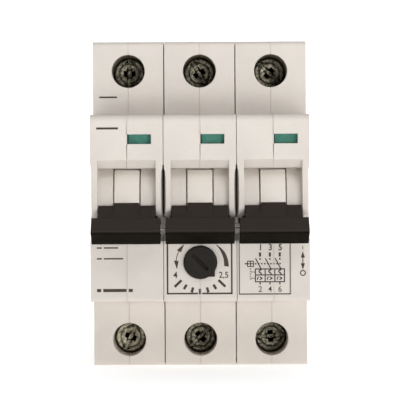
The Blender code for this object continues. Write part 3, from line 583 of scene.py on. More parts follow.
MATERIALS = {
    # The housing has painted shade in its screwdriver holes
    "housing": moulded_plastic("housing_plastic", (0.715, 0.661, 0.604), specular=0.28, shaded_holes=True),
    "toggle": moulded_plastic("toggle_plastic", (0.80, 0.740, 0.672), 0.2, (0.36, 0.46)),
    # The levers' upward faces get painted light
    "lever": black_plastic(
        "lever_plastic", (0.0075, 0.0062, 0.0046), specular=0.01, painted_top_light=(0.045, 0.0365, 0.0305),
    ),
    "dial": black_plastic("dial_plastic", (0.0185, 0.0150, 0.0118), (0.45, 0.6)),
    "clip": black_plastic("clip_plastic", (0.028, 0.028, 0.028), specular=0.3),
    "flag": flag_plastic("flag_print"),
    "zinc": worn_metal(
        "blackened_zinc", (0.52, 0.48, 0.34), (0.085, 0.078, 0.055), 0.7, (0.30, 0.5), (0.42, 0.66), 0.45,
    ),
    "bare_zinc": worn_metal(
        "bare_zinc", (0.78, 0.74, 0.55), (0.17, 0.155, 0.11), 0.8, (0.30, 0.5), (0.36, 0.60), 0.45,
    ),
    "cage": worn_metal("cage_zinc", (0.42, 0.41, 0.38), (0.20, 0.19, 0.17)),
    "copper": worn_metal("copper", (0.72, 0.38, 0.24), (0.42, 0.20, 0.12), 2.0, (0.25, 0.42), (0.3, 0.6)),
    "bimetal": worn_metal("bimetal", (0.62, 0.54, 0.38), (0.38, 0.31, 0.20), 2.0, (0.28, 0.45)),
    "steel": worn_metal("steel", (0.56, 0.55, 0.52), (0.34, 0.32, 0.29), 1.5, (0.22, 0.38), (0.25, 0.5)),
    "pin": worn_metal(
        "dark_steel", (0.36, 0.34, 0.31), (0.20, 0.185, 0.16), 1.0, (0.12, 0.20), metallic=0.45,
    ),
    "chute": worn_metal("chute_steel", (0.40, 0.38, 0.34), (0.16, 0.14, 0.12), 0.8, (0.35, 0.55)),
    "ink": ink("printing_ink", (0.045, 0.033, 0.025)),
    "grey_ink": ink("faint_ink", (0.17, 0.145, 0.12)),
}


def install(piece, body, material, slot, *nodes):
    """Give a finished piece its material and its body, and hide the CAD nodes that it replaces; the slot is
    not used.
    """
    if not piece.data.materials:
        piece.data.materials.append(MATERIALS[material])
    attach(piece, body)
    if nodes:
        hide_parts(*nodes)


# ---------------------------------------------------------------- housing

def housing_outline():
    """The side outline of a module, from the lower rail corner round to the upper hook."""
    outline = [
        (SEAT_RELIEF, -RAIL_HALF_OPENING),
        (SEAT_RELIEF, -SEAT_HALF_HEIGHT),
        (0.0, -SEAT_HALF_HEIGHT),
        (0.0, SEAT_HALF_HEIGHT),
        (SEAT_RELIEF, SEAT_HALF_HEIGHT),
        (SEAT_RELIEF, RAIL_HALF_OPENING),
        (HOOK_FRONT, RAIL_HALF_OPENING),
        (HOOK_FRONT, HOOK_HEIGHT),
        (REAR, HOOK_HEIGHT),
    ]
    outline += arc((REAR + REAR_EDGE_RADIUS, TOP - REAR_EDGE_RADIUS), REAR_EDGE_RADIUS, 180, 90, 5)
    outline += arc((SHOULDER - TOP_EDGE_RADIUS, TOP - TOP_EDGE_RADIUS), TOP_EDGE_RADIUS, 90, 0)
    outline.append((SHOULDER, NOSE_HALF_HEIGHT))
    nose_top = (NOSE - NOSE_TOP_RADIUS, NOSE_HALF_HEIGHT - NOSE_TOP_RADIUS)
    outline += arc(nose_top, NOSE_TOP_RADIUS, 90, 0)
    nose_bottom = (NOSE - NOSE_BOTTOM_RADIUS, NOSE_BOTTOM_RADIUS - NOSE_HALF_HEIGHT)
    outline += arc(nose_bottom, NOSE_BOTTOM_RADIUS, 0, -90)
    outline.append((SHOULDER, -NOSE_HALF_HEIGHT))
    lower_edge = (SHOULDER - BOTTOM_EDGE_RADIUS, BOTTOM + BOTTOM_EDGE_RADIUS)
    outline += arc(lower_edge, BOTTOM_EDGE_RADIUS, 0, -90, 5)
    outline += arc((REAR + REAR_EDGE_RADIUS, BOTTOM + REAR_EDGE_RADIUS), REAR_EDGE_RADIUS, 270, 180, 5)
    outline.append((REAR, -RAIL_HALF_OPENING))
    return outline


def chamber_outline():
    """The mechanism chamber, which runs behind the handle channel and into both ends of the nose."""
    front = NOSE - NOSE_WALL
    wall_front = PIVOT[0] + 3.5
    lower_wall = PIVOT[1] - CHANNEL_HALF_HEIGHT - 1.5
    outline = [
        (CHAMBER_BACK, CHAMBER_HALF_HEIGHT),
        (CHAMBER_BACK, -CHAMBER_HALF_HEIGHT),
        (front, -CHAMBER_HALF_HEIGHT),
        (front, lower_wall),
        (wall_front, lower_wall),
    ]
    outline += arc(PIVOT, FLOOR_RADIUS - FLOOR_WALL, -80, 80, 20)
    outline += [
        (wall_front, FLAG_CHAMBER[0]),
        (front, FLAG_CHAMBER[0]),
        (front, FLAG_CHAMBER[1]),
        (SHOULDER, FLAG_CHAMBER[1]),
        (SHOULDER, CHAMBER_HALF_HEIGHT),
    ]
    return outline


def channel_outline():
    """The handle channel: a convex floor round the toggle's axis between two sloping bands."""
    top = PIVOT[1] + CHANNEL_HALF_HEIGHT
    bottom = PIVOT[1] - CHANNEL_HALF_HEIGHT
    front = NOSE + OVERLAP
    floor_angle = math.degrees(math.asin((CHANNEL_HALF_HEIGHT - BAND_HEIGHT) / FLOOR_RADIUS))
    outline = arc(PIVOT, FLOOR_RADIUS, floor_angle, -floor_angle, 28)
    outline += [(NOSE, bottom), (front, bottom), (front, top), (NOSE, top)]
    outline.append((BAND_DEPTH, top - BAND_HEIGHT + 0.1))
    return outline


def notch_outline():
    """The step in the cheeks below the lever, with a rounded upper edge and a sloping lower end."""
    front, mouth_bottom = NOSE + OVERLAP, NOTCH_BOTTOM - 1.0
    rounded = arc((NOSE - NOTCH_ROUND, NOTCH_TOP + NOTCH_ROUND), NOTCH_ROUND, -90, 0)
    return [
        (NOTCH_DEPTH, NOTCH_TOP), *rounded, (front, NOTCH_TOP + NOTCH_ROUND),
        (front, mouth_bottom), (NOSE, mouth_bottom), (NOTCH_DEPTH, NOTCH_BOTTOM),
    ]


def side_cut(sign, depth):
    """The x limits of a cut into a module's side."""
    return sorted((sign * (SKIN_HALF_WIDTH - depth), sign * (SKIN_HALF_WIDTH + OVERLAP)))


def cheek_relief(sign):
    """The long lens-shaped relief on a cheek's outer edge, which narrows away from the face."""
    upper = PIVOT[1] + CHANNEL_HALF_HEIGHT - 0.8
    lower = NOTCH_TOP - 1.0
    middle, half = (upper + lower) / 2, (upper - lower) / 2
    outside = SKIN_HALF_WIDTH + OVERLAP
    steps = 16
    shape = bmesh.new()
    rings = []
    # The back end lies just outside the side, so that the relief runs out without a step
    for depth, reach in ((NOSE + OVERLAP, 0.5564), (NOSE - 5.5, -0.0312)):
        ring = []
        for step in range(steps + 1):
            along = 1 - 2 * step / steps
            ring.append((SKIN_HALF_WIDTH - reach * (1 - along ** 4), middle + half * along))
        ring += [(outside, lower), (outside, upper)]
        rings.append([shape.verts.new(place(sign * x, depth, z)) for x, z in ring])
    front, back = rings
    shape.faces.new(front)
    shape.faces.new(back)
    for index, corner in enumerate(front):
        shape.faces.new((front[index - 1], corner, back[index], back[index - 1]))
    return mesh_object("cheek_relief", shape)


def body_relief(sign):
    """A thin wedge off the body's side, so that neighbours stand apart behind their noses."""
    outside = SKIN_HALF_WIDTH + OVERLAP
    wide, narrow = (SKIN_HALF_WIDTH - gap for gap in BODY_GAPS)
    outline = [
        (narrow, BOTTOM - OVERLAP), (narrow, BOTTOM), (wide, -NOSE_HALF_HEIGHT), (wide, NOSE_HALF_HEIGHT),
        (narrow, TOP), (narrow, TOP + OVERLAP), (outside, TOP + OVERLAP), (outside, BOTTOM - OVERLAP),
    ]
    outline = [(sign * x, z) for x, z in outline]
    return front_prism("body_relief", [outline], (REAR - OVERLAP, SHOULDER + 0.01))


def pin_relief(sign):
    """A pocket in a module's side behind the tie pin, open towards its neighbour."""
    depths = (SHOULDER + 1.0, NOTCH_DEPTH + OVERLAP)
    return box("pin_relief", side_cut(sign, 0.7), depths, (NOTCH_BOTTOM + 1.3, NOTCH_TOP - 0.4))


def terminal_cutters(side, height):
    """The clamp's pocket, the screwdriver hole, its neck, the wire entry and the tongue's slot."""
    outward, edge = (1, TOP) if side == "upper" else (-1, BOTTOM)
    reach = outward * (POCKET_HALF_HEIGHT - OVERLAP)
    pocket_heights = (height - POCKET_HALF_HEIGHT, height + POCKET_HALF_HEIGHT)
    entry_heights = sorted((height + reach, edge + outward * OVERLAP))
    slot_heights = sorted((height - reach, outward * (CHAMBER_HALF_HEIGHT - OVERLAP)))
    axis = along_depth(0, height)
    flare, crest = 0.25, 0.08
    hole = [
        (0, SHOULDER + OVERLAP), (SCREW_HOLE_RADIUS + flare, SHOULDER + OVERLAP),
        (SCREW_HOLE_RADIUS + flare, SHOULDER), (SCREW_HOLE_RADIUS + crest, SHOULDER - crest),
        (SCREW_HOLE_RADIUS, SHOULDER - flare), (SCREW_HOLE_RADIUS, NECK_DEPTH[1]), (0, NECK_DEPTH[1]),
    ]
    neck = (NECK_DEPTH[0] - OVERLAP, NECK_DEPTH[1] + OVERLAP)
    return [
        box(side + "_pocket", centred(POCKET_HALF_WIDTH), POCKET_DEPTH, pocket_heights),
        turned(side + "_driver_hole", hole, axis, FINE),
        rod(side + "_neck", SCREW_NECK_RADIUS, neck, axis),
        box(side + "_wire_entry", centred(WIRE_HALF_WIDTH), WIRE_DEPTH, entry_heights),
        wire_mouth(edge, outward),
        box(side + "_tongue_slot", centred(TONGUE_SLOT_HALF_WIDTH), TONGUE_SLOT_DEPTH, slot_heights),
    ]


def wire_mouth(edge, outward):
    """A shallow funnel round a wire entry."""
    lip, drop = 0.7, 0.8
    middle = sum(WIRE_DEPTH) / 2
    half_depth = (WIRE_DEPTH[1] - WIRE_DEPTH[0]) / 2
    mouth = (lip * (1 + OVERLAP / drop), edge + outward * OVERLAP)
    throat = (0.0, edge - outward * drop)
    shape = bmesh.new()
    bmesh.ops.create_cube(shape, size=1.0)
    for vert in shape.verts:
        grow, height = mouth if vert.co.z * outward > 0 else throat
        x = math.copysign(WIRE_HALF_WIDTH + grow, vert.co.x)
        depth = middle + math.copysign(half_depth + grow, vert.co.y)
        vert.co = place(x, depth, height)
    return mesh_object("wire_mouth", shape)


def shell_cutters():
    """Every cutter that both half-shells of a module share."""
    outside = centred(SKIN_HALF_WIDTH + OVERLAP)
    sockets = centred(CHAMBER_HALF_WIDTH + SOCKET_DEPTH)
    slot = centred(HUB_HALF_WIDTH + HUB_SIDE_GAP)
    pivot, arm_pivot, trip_axis = (along_width(*axis) for axis in (PIVOT, ARM_PIVOT, TRIP_BAR))
    narrow, wide = (centred(half) for half in CLIP_SLOT_HALF_WIDTHS)
    clip_heights = (BOTTOM - OVERLAP, -RAIL_HALF_OPENING + OVERLAP)
    cutters = [
        side_prism("chamber", chamber_outline(), centred(CHAMBER_HALF_WIDTH)),
        side_prism("channel", channel_outline(), centred(CHANNEL_HALF_WIDTH)),
        side_prism("notch", notch_outline(), outside),
        cheek_relief(1),
        cheek_relief(-1),
        box("window", WINDOW_X, (NOSE - NOSE_WALL - OVERLAP, NOSE + OVERLAP), WINDOW_HEIGHT),
        rod("hub_slot", HUB_RADIUS + HUB_SIDE_GAP, slot, pivot, FINER),
        rod("axle_sockets", AXLE_RADIUS + BEARING_GAP, sockets, pivot),
        rod("arm_sockets", ARM_SOCKET_RADIUS, sockets, arm_pivot),
        rod("trip_bar_holes", TRIP_BAR_HOLE_RADIUS, outside, trip_axis),
        box("clip_mouth", narrow, (REAR - OVERLAP, CLIP_SLOT_STEP + OVERLAP), clip_heights),
        box("clip_groove", wide, (CLIP_SLOT_STEP, HOOK_FRONT), clip_heights),
    ]
    for side, height in TERMINAL_HEIGHTS.items():
        cutters += terminal_cutters(side, height)
    for rivet in RIVETS:
        axis = along_width(*node_axis(rivet))
        cutters.append(rod(rivet + "_hole", RIVET_HOLE_RADIUS, outside, axis, COARSE))
    return cutters


def dial_cutters():
    """The dial's hole through the nose and the room for its flange."""
    axis = along_depth(0, DIAL_HEIGHT)
    back, front = DIAL_FLANGE_DEPTH
    room = (back - BEARING_GAP, NOSE - NOSE_WALL + BEARING_GAP)
    return [
        rod("dial_hole", DIAL_RADIUS + DIAL_GAP, (front, NOSE + OVERLAP), axis, FINER),
        rod("dial_flange_room", DIAL_FLANGE_RADIUS + BEARING_GAP, room, axis, FINE),
    ]


def outer_side_cutters(sign):
    """What the two outer sides carry: rivet seats, a shallow panel and ejector marks."""
    seat, panel, mark = (side_cut(sign, depth) for depth in (0.9, 0.3, 0.15))
    mark_radius, mark_places = 1.6, ((12.0, 30.0), (30.0, -31.0), (36.0, 34.0), (12.0, -24.0))
    panel_outline = rounded_rectangle((8.0, 36.0), (-14.0, 19.0), 1.5)
    cutters = [
        rod(rivet + "_seat", RIVET_SEAT_RADIUS, seat, along_width(*node_axis(rivet)), FINE)
        for rivet in RIVETS
    ]
    cutters.append(side_prism("side_panel", panel_outline, panel))
    cutters += [rod("ejector_mark", mark_radius, mark, along_width(*spot)) for spot in mark_places]
    return cutters


def on_channel_mouth(edge):
    """Whether an edge belongs to the mouth of the handle channel on the nose's face."""
    top = PIVOT[1] + CHANNEL_HALF_HEIGHT
    tolerance = 0.01
    points = [(abs(vert.co.x) / MM, -vert.co.y / MM, vert.co.z / MM) for vert in edge.verts]
    on_face = all(abs(depth - NOSE) < tolerance for _, depth, _ in points)
    along_side = all(abs(x - CHANNEL_HALF_WIDTH) < tolerance for x, _, _ in points)
    along_top = all(abs(z - top) < tolerance for _, _, z in points)
    inside = all(x < CHANNEL_HALF_WIDTH + tolerance for x, _, _ in points)
    return on_face and (along_side or (along_top and inside))


def half_skin(name, sign, outermost):
    """A half-shell before its cuts, with its outer edges and the edges at its seam rounded."""
    side_radius = OUTER_EDGE_RADIUS if outermost else JOINT_EDGE_RADIUS
    tolerance = 0.001 * MM
    x_range = sorted((sign * SEAM_HALF_LINE, sign * SKIN_HALF_WIDTH))
    skin = side_prism("skin_" + name, housing_outline(), x_range)
    for x, radius, segments in ((SKIN_HALF_WIDTH, side_radius, 4), (SEAM_HALF_LINE, SEAM_EDGE_RADIUS, 1)):
        plane = sign * x * MM
        round_edges(
            skin, lambda edge: all(abs(vert.co.x - plane) < tolerance for vert in edge.verts),
            radius, segments,
        )
    return skin


def build_shells():
    """Build the six half-shells."""
    shared = shell_cutters()
    for pole in POLES:
        for side, sign in (("left", -1), ("right", 1)):
            name = f"pole_{pole}_{side}_shell"
            outermost = pole == (POLES[0] if sign < 0 else POLES[-1])
            extra = outer_side_cutters(sign) if outermost else [body_relief(sign), pin_relief(sign)]
            if pole == 2:
                extra += dial_cutters()
            shell = joined(half_skin(name, sign, outermost), removed=extra, kept=shared)
            round_edges(shell, on_channel_mouth, MOUTH_EDGE_RADIUS, 4)
            shell = soften(shell, CUT_EDGE_RADIUS)
            even_shading(shell)
            shell.location = place(POLE_CENTRE[pole], 0, 0)
            install(shell, "housing", "housing", "housing", name)
    discard(shared)


# ---------------------------------------------------------------- levers and toggles

def lever_cap():
    """A lever cap: a full-width bar whose web and narrow crown sit on the toggle's disc."""
    seat = HUB_RADIUS + HUB_SIDE_GAP
    half_width = node_limits("pole_2_lever_cap")[0][1]
    web_half_width, bore_radius, edge = 6.8, 1.35, 0.22
    web = arc(PIVOT, seat, -32, -7.7, 12) + [(66.0, -2.4), (67.0, -6.5), (62.8, -7.2)]
    crown = arc(PIVOT, seat, -16, -3.8, 8) + [(65.0, -2.0), (64.0, -5.0)]
    bar = [(62.9, -2.9), (66.1, -2.25), *arc((69.3, -5.6), 0.7, 50, -55, 8), (64.4, -8.6), (63.4, -8.2)]
    parts = [
        side_prism("lever_web", web, centred(web_half_width)),
        side_prism("lever_crown", crown, centred(HUB_HALF_WIDTH)),
    ]
    axis = along_width(*node_axis("lever_tie_pin"))
    bore = rod("tie_bore", bore_radius, centred(half_width + OVERLAP), axis)
    cap = joined(side_prism("lever_cap", bar, centred(half_width)), added=parts, removed=[bore])
    return soften(cap, edge, 3, 25)


def toggle_disc():
    """A toggle's disc with its stub axles, lowered where its rim runs in under the upper band."""
    axle = CHAMBER_HALF_WIDTH + SOCKET_DEPTH - 0.3
    edge, crest = 0.18, 0.054
    band_gap, low_depth, low_angle = 0.35, 2.8, 20
    profile = mirrored([
        (0, axle), (AXLE_RADIUS, axle), (AXLE_RADIUS, HUB_HALF_WIDTH), (HUB_RADIUS - edge, HUB_HALF_WIDTH),
        (HUB_RADIUS - crest, HUB_HALF_WIDTH - crest), (HUB_RADIUS, HUB_HALF_WIDTH - edge),
    ])
    start = math.degrees(math.asin((CHANNEL_HALF_HEIGHT - BAND_HEIGHT - band_gap) / HUB_RADIUS))
    low = arc(PIVOT, HUB_RADIUS + OVERLAP, start, start + low_angle)
    low += arc(PIVOT, HUB_RADIUS - low_depth, start + low_angle, start, 4)
    low_end = side_prism("toggle_end", low, centred(HUB_HALF_WIDTH + OVERLAP))
    disc = joined(turned("toggle", profile, along_width(*PIVOT), FINEST), removed=[low_end])
    smooth(disc, 50)
    return disc


def build_tie_pin():
    """The bright pin through the three lever caps."""
    (_, end), depths, _ = node_limits("lever_tie_pin")
    radius, edge = (depths[1] - depths[0]) / 2, 0.2
    profile = mirrored([(0, end), (radius - edge, end), (radius, end - edge)])
    pin = turned("tie_pin", profile, along_width(*node_axis("lever_tie_pin")))
    smooth(pin, 40)
    install(pin, "handle", "pin", "steel", "lever_tie_pin")


def build_levers():
    """Build the lever caps, the toggles' discs and the pin that joins the levers."""
    cap = lever_cap()
    disc = toggle_disc()
    for pole, centre in POLE_CENTRE.items():
        lever = copy_at(cap, f"lever_bar_{pole}", centre)
        even_shading(lever)
        install(lever, "handle", "lever", "lever", f"pole_{pole}_lever_cap")
        toggle = copy_at(disc, f"toggle_disc_{pole}", centre)
        install(toggle, "handle", "toggle", "toggle", f"pole_{pole}_toggle")
    discard([cap, disc])
    build_tie_pin()


# ---------------------------------------------------------------- dial

def dial_knob():
    """The dial's knob, its flange behind the nose's face and its shaft."""
    edge, crest = 0.4, 0.12
    back, front = DIAL_FLANGE_DEPTH
    profile = [
        (0, DIAL_FACE), (DIAL_RADIUS - edge, DIAL_FACE), (DIAL_RADIUS - crest, DIAL_FACE - crest),
        (DIAL_RADIUS, DIAL_FACE - edge), (DIAL_RADIUS, front), (DIAL_FLANGE_RADIUS, front),
        (DIAL_FLANGE_RADIUS, back), (DIAL_SHAFT_RADIUS, back), (DIAL_SHAFT_RADIUS, DIAL_SHAFT_END),
        (0, DIAL_SHAFT_END),
    ]
    return turned("dial_knob", profile, along_depth(0, DIAL_HEIGHT), FINER)


def dial_beak(aim):
    """The pointer on the knob's rim, whose sides curve in to a blunt tip."""
    reach, spread, steps = 1.07, 27.0, 12
    root = DIAL_RADIUS - 0.05
    outline = [(0.0, DIAL_HEIGHT)]
    for step in range(2 * steps + 1):
        offset = (step - steps) / steps
        distance = root + reach * (1 - abs(offset)) ** 2.2
        outline.append(turned_point((0.0, DIAL_HEIGHT), distance, aim + spread * offset))
    return front_prism("dial_beak", [outline], (NOSE + 0.25, DIAL_FACE - 0.25))


def dial_slot(aim):
    """The screwdriver slot, with round ends, in line with the beak."""
    half_length, half_width, depth = 2.55, 0.44, 0.9
    outline = []
    for way in (aim, aim + 180):
        end = turned_point((0.0, DIAL_HEIGHT), half_length - half_width, way)
        outline += arc(end, half_width, way - 90, way + 90)
    return front_prism("dial_slot", [outline], (DIAL_FACE - depth, DIAL_FACE + OVERLAP))


def build_dial():
    """The setting dial with its drooping beak and its screwdriver slot."""
    aim = -45.0
    dial = joined(dial_knob(), added=[dial_beak(aim)], removed=[dial_slot(aim)])
    dial = soften(dial, 0.08, 2, 45)
    even_shading(dial)
    dial.name = "setting_dial"
    install(dial, "dial", "dial", "dial", "current_dial")


# ---------------------------------------------------------------- terminals, clips and rivets

def screw_head(name, height):
    """A terminal screw: a broad head with a raised boss, a shallow slot and a cross recess."""
    face, tip = SCREW_FACE, 21.0
    boss, flat, rim, shank = 2.5, 2.8, 3.75, 2.45
    half_slot, slot_depth, edge = 0.42, 1.0, 0.09
    profile = [
        (0, face), (boss - 0.2, face), (boss, face - 0.15), (boss + 0.1, face - 0.3), (flat, face - 0.35),
        (rim - 0.35, face - 0.35), (rim - 0.1, face - 0.5), (rim, face - 0.8), (rim, face - 2.9),
        (rim - 0.1, face - 3.0), (shank, face - 3.0), (shank, tip + 0.6), (shank - 0.6, tip), (0, tip),
    ]
    head = turned(name, profile, along_depth(0, height), FINE)
    slot_heights = (height - half_slot, height + half_slot)
    slot = box("slot", centred(rim + OVERLAP), (face - slot_depth, face + OVERLAP), slot_heights)
    head = joined(head, removed=[slot, cross_recess(height, 90), cross_recess(height, 0)])
    return soften(head, edge)


def build_screws():
    """Build the terminal screws, each stopped at its own angle."""
    turns = {"upper": (90.0, 60.0, 45.0), "lower": (-66.0, -45.0, -4.0)}
    for side, height in TERMINAL_HEIGHTS.items():
        for pole, turn in zip(POLES, turns[side]):
            head = screw_head(f"terminal_screw_{side}_{pole}", height)
            head.data.transform(
                Matrix.Translation(place(POLE_CENTRE[pole], 0, height))
                @ Matrix.Rotation(math.radians(turn), 4, "Y")
                @ Matrix.Translation(place(0, 0, -height))
            )
            surface = "bare_zinc" if (side, pole) == ("lower", 1) else "zinc"
            install(head, f"{side}_screw_{pole}", surface, "zinc", f"pole_{pole}_{side}_terminal_screw")


def cross_recess(height, turn):
    """One arm of a cross recess, tapering towards its bottom."""
    mouth = (1.75, 0.78, SCREW_FACE + OVERLAP)
    floor = (0.8, 0.4, SCREW_FACE - 1.7)
    shape = bmesh.new()
    bmesh.ops.create_cube(shape, size=1.0)
    for vert in shape.verts:
        half_length, half_width, depth = mouth if vert.co.y < 0 else floor
        vert.co = place(math.copysign(half_length, vert.co.x), depth, math.copysign(half_width, vert.co.z))
    shape.transform(Matrix.Translation(place(0, 0, height)) @ Matrix.Rotation(math.radians(turn), 4, "Y"))
    return mesh_object("cross", shape)


def clip_moulding():
    """A sliding rail clip with its pull slot and the window for its spring."""
    x_range, depths, heights = node_limits("pole_2_rail_clip")
    step = CLIP_SLOT_STEP + BEARING_GAP
    back_half_width = CLIP_SLOT_HALF_WIDTHS[0] - 0.3
    slot_half_width, window_half_width = 2.0, 2.4
    back_top, slot_heights, window_heights = -19.5, (-37.2, -35.0), (-31.0, -24.0)
    window_depths = (REAR - OVERLAP, depths[0] + 1.0)
    body = box("clip", x_range, (step, depths[1]), heights)
    back = box("clip_back", centred(back_half_width), (depths[0], step + OVERLAP), (heights[0], back_top))
    slot = box("clip_slot", centred(slot_half_width), (REAR - OVERLAP, 0.0), slot_heights)
    window = box("clip_spring_window", centred(window_half_width), window_depths, window_heights)
    return soften(joined(body, added=[back], removed=[slot, window]), 0.2)


def build_clips():
    """Build the three rail clips."""
    clip = clip_moulding()
    for pole, centre in POLE_CENTRE.items():
        piece = copy_at(clip, f"rail_clip_{pole}_moulding", centre)
        even_shading(piece)
        install(piece, f"rail_clip_{pole}", "clip", "clip", f"pole_{pole}_rail_clip")
    discard([clip])


def build_rivets():
    """Tubular rivets with rolled heads."""
    bore, floor_radius, neck = 0.85, 0.7, 1.5
    for rivet in RIVETS:
        (_, end), depths, _ = node_limits(rivet)
        radius = (depths[1] - depths[0]) / 2
        seat = end - 0.7
        profile = mirrored([
            (0, end - 0.9), (floor_radius, end - 0.9), (bore, end - 0.3), (bore + 0.3, end), (1.9, end),
            (radius - 0.12, end - 0.2), (radius, end - 0.45), (radius, seat), (neck, seat),
        ])
        piece = turned(rivet + "_rolled", profile, along_width(*node_axis(rivet)))
        smooth(piece, 50)
        install(piece, "housing", "steel", "steel", rivet)


def refine_inside():
    """Break the edges of the CAD solids that stay, and give each its own metal."""
    kinds = {
        "fixed_contact": "copper", "contact_arm": "copper", "arc_chute": "chute", "trip_coil": "copper",
        "trip_plunger": "steel", "bimetal_strip": "bimetal", "status_flag": "flag",
        "upper_clamp_cage": "cage", "lower_clamp_cage": "cage",
    }
    targets = {f"pole_{pole}_{kind}": surface for pole in POLES for kind, surface in kinds.items()}
    targets["trip_bar"] = "clip"
    for name, surface in targets.items():
        node = frame["nodes"][name]
        weld = node.modifiers.new("weld", "WELD")
        weld.merge_threshold = 0.002 * MM
        flat = node.modifiers.new("flat", "DECIMATE")
        flat.decimate_type = "DISSOLVE"
        flat.angle_limit = math.radians(1)
        bevel = node.modifiers.new("edges", "BEVEL")
        bevel.width = 0.12 * MM
        bevel.segments = 2
        bevel.limit_method = "ANGLE"
        bevel.angle_limit = math.radians(50)
        for slot in node.material_slots:
            slot.material = MATERIALS[surface]


# ---------------------------------------------------------------- printing

class Print:
    """A sheet of ink shapes on the nose's face, measured from a module's centre."""

    def __init__(self, name, pole, depth=NOSE, surface="ink"):
        self.name = name
        self.pole = pole
        self.depth = depth
        self.surface = surface
        self.shape = bmesh.new()

    def area(self, outline):
        """A filled outline."""
        front = self.depth + INK_THICKNESS
        face = self.shape.faces.new([self.shape.verts.new(place(x, front, z)) for x, z in outline])
        extruded = bmesh.ops.extrude_face_region(self.shape, geom=[face])
        moved = [item for item in extruded["geom"] if isinstance(item, bmesh.types.BMVert)]
        bmesh.ops.translate(self.shape, vec=place(0, -2 * INK_THICKNESS, 0), verts=moved)

    def line(self, start, end, width=INK_LINE):
        """A straight stroke."""
        self.area(strip(start, end, width))

    def path(self, points, width):
        """Straight strokes through several points."""
        for start, end in zip(points, points[1:]):
            self.line(start, end, width)

    def arrow(self, x, base, tip, half_width):
        """An upright filled triangle."""
        self.area([(x - half_width, base), (x + half_width, base), (x, tip)])

    def band(self, centre, inner, outer, start, end, steps):
        """Part of a ring whose inner and outer radii may change along the way."""
        for step in range(steps):
            corners = []
            for part, edges in ((step / steps, (inner, outer)), ((step + 1) / steps, (outer, inner))):
                for first, last in edges:
                    radius = first + (last - first) * part
                    corners.append(turned_point(centre, radius, start + (end - start) * part))
            self.area(corners)

    def digits(self, text, x, z, height=DIGIT_HEIGHT, squeeze=0.95, weight=0.045):
        """Numbers, centred on a point."""
        digit_share = 0.73
        font = bpy.data.curves.new("digits", "FONT")
        font.body = text
        font.size = height / digit_share * MM
        font.offset = weight * MM
        font.align_x = "CENTER"
        font.align_y = "CENTER"
        font.extrude = INK_THICKNESS * MM
        font.resolution_u = 6
        carrier = add_object("digits", font)
        bpy.context.view_layer.update()
        evaluated = carrier.evaluated_get(bpy.context.evaluated_depsgraph_get())
        mesh = bpy.data.meshes.new_from_object(evaluated)
        upright = Matrix.Rotation(math.radians(90), 4, "X") @ Matrix.Diagonal((squeeze, 1, 1, 1))
        mesh.transform(Matrix.Translation(place(x, self.depth, z)) @ upright)
        self.shape.from_mesh(mesh)
        bpy.data.objects.remove(carrier)
        bpy.data.meshes.remove(mesh)

    def finish(self):
        """Make the ink one piece that rides on the housing."""
        bmesh.ops.remove_doubles(self.shape, verts=self.shape.verts, dist=0.0001 * MM)
        piece = mesh_object(self.name, self.shape)
        piece.location = place(POLE_CENTRE[self.pole], 0, 0)
        install(piece, "housing", self.surface, "housing")


def print_dial_ticks(sheet, centre, foot):
    """The scale's seven ticks; the middle one runs down through the frame's opening."""
    heavy = 0.6
    for radii, angles in (((6.25, 7.5), (15.5, 31.0)), ((6.15, 8.45), (46.0,))):
        for angle in angles:
            for side in (-angle, angle):
                ends = [turned_point(centre, radius, side - 90) for radius in radii]
                sheet.line(*ends, heavy)
    sheet.line((centre[0], centre[1] - 6.35), (centre[0], foot), heavy)


def print_dial_arrows(sheet, centre):
    """The thin arrow with two heads on the left, and the swelling wedge on the right."""
    radius, half_line, half_head, half_tip = 5.7, 0.1, 0.56, 0.07
    inner, outer = (radius - half_line,) * 2, (radius + half_line - 0.01,) * 2
    sheet.band(centre, inner, outer, 151, 177, 12)
    for base, tip in ((176, 195), (152, 132.5)):
        sheet.area([
            turned_point(centre, radius - half_head, base), turned_point(centre, radius + half_head, base),
            turned_point(centre, radius + half_tip, tip), turned_point(centre, radius - half_tip, tip),
        ])
    sheet.band(centre, (5.66, 5.62), (5.76, 6.42), 47, 22, 14)
    sheet.band(centre, (5.62, 5.84), (6.42, 7.0), 22, -9, 14)


def print_dial_scale():
    """The frame, ticks, arrows and two numbers round the dial."""
    sheet = Print("dial_scale_print", 2)
    centre = (-0.1, DIAL_HEIGHT)
    left, right, bottom, top = -7.88, 7.52, -20.53, -8.0
    half_opening = 0.5
    foot = bottom - INK_LINE / 2
    for x in (left, right):
        sheet.line((x, top), (x, foot))
    sheet.line((left, bottom), (centre[0] - half_opening, bottom))
    sheet.line((centre[0] + half_opening, bottom), (right, bottom))
    print_dial_ticks(sheet, centre, foot)
    print_dial_arrows(sheet, centre)
    number_row = DIAL_HEIGHT - 3.12
    sheet.digits("4", -5.98, number_row, squeeze=0.9, weight=0.055)
    sheet.digits("2,5", 5.6, number_row, weight=0.03)
    sheet.finish()


# The circuit diagram's stroke widths, its poles and the rows of its boxes and of its link
FINE_LINE, THIN_LINE, SYMBOL_LINE, DASH_LINE, BOLD_LINE = 0.22, 0.27, 0.3, 0.33, 0.5
COLUMNS = (-3.28, -0.92, 1.45)
RELEASE_ROWS = (-14.72, -16.15, -17.78)
LINK_ROW = -13.46


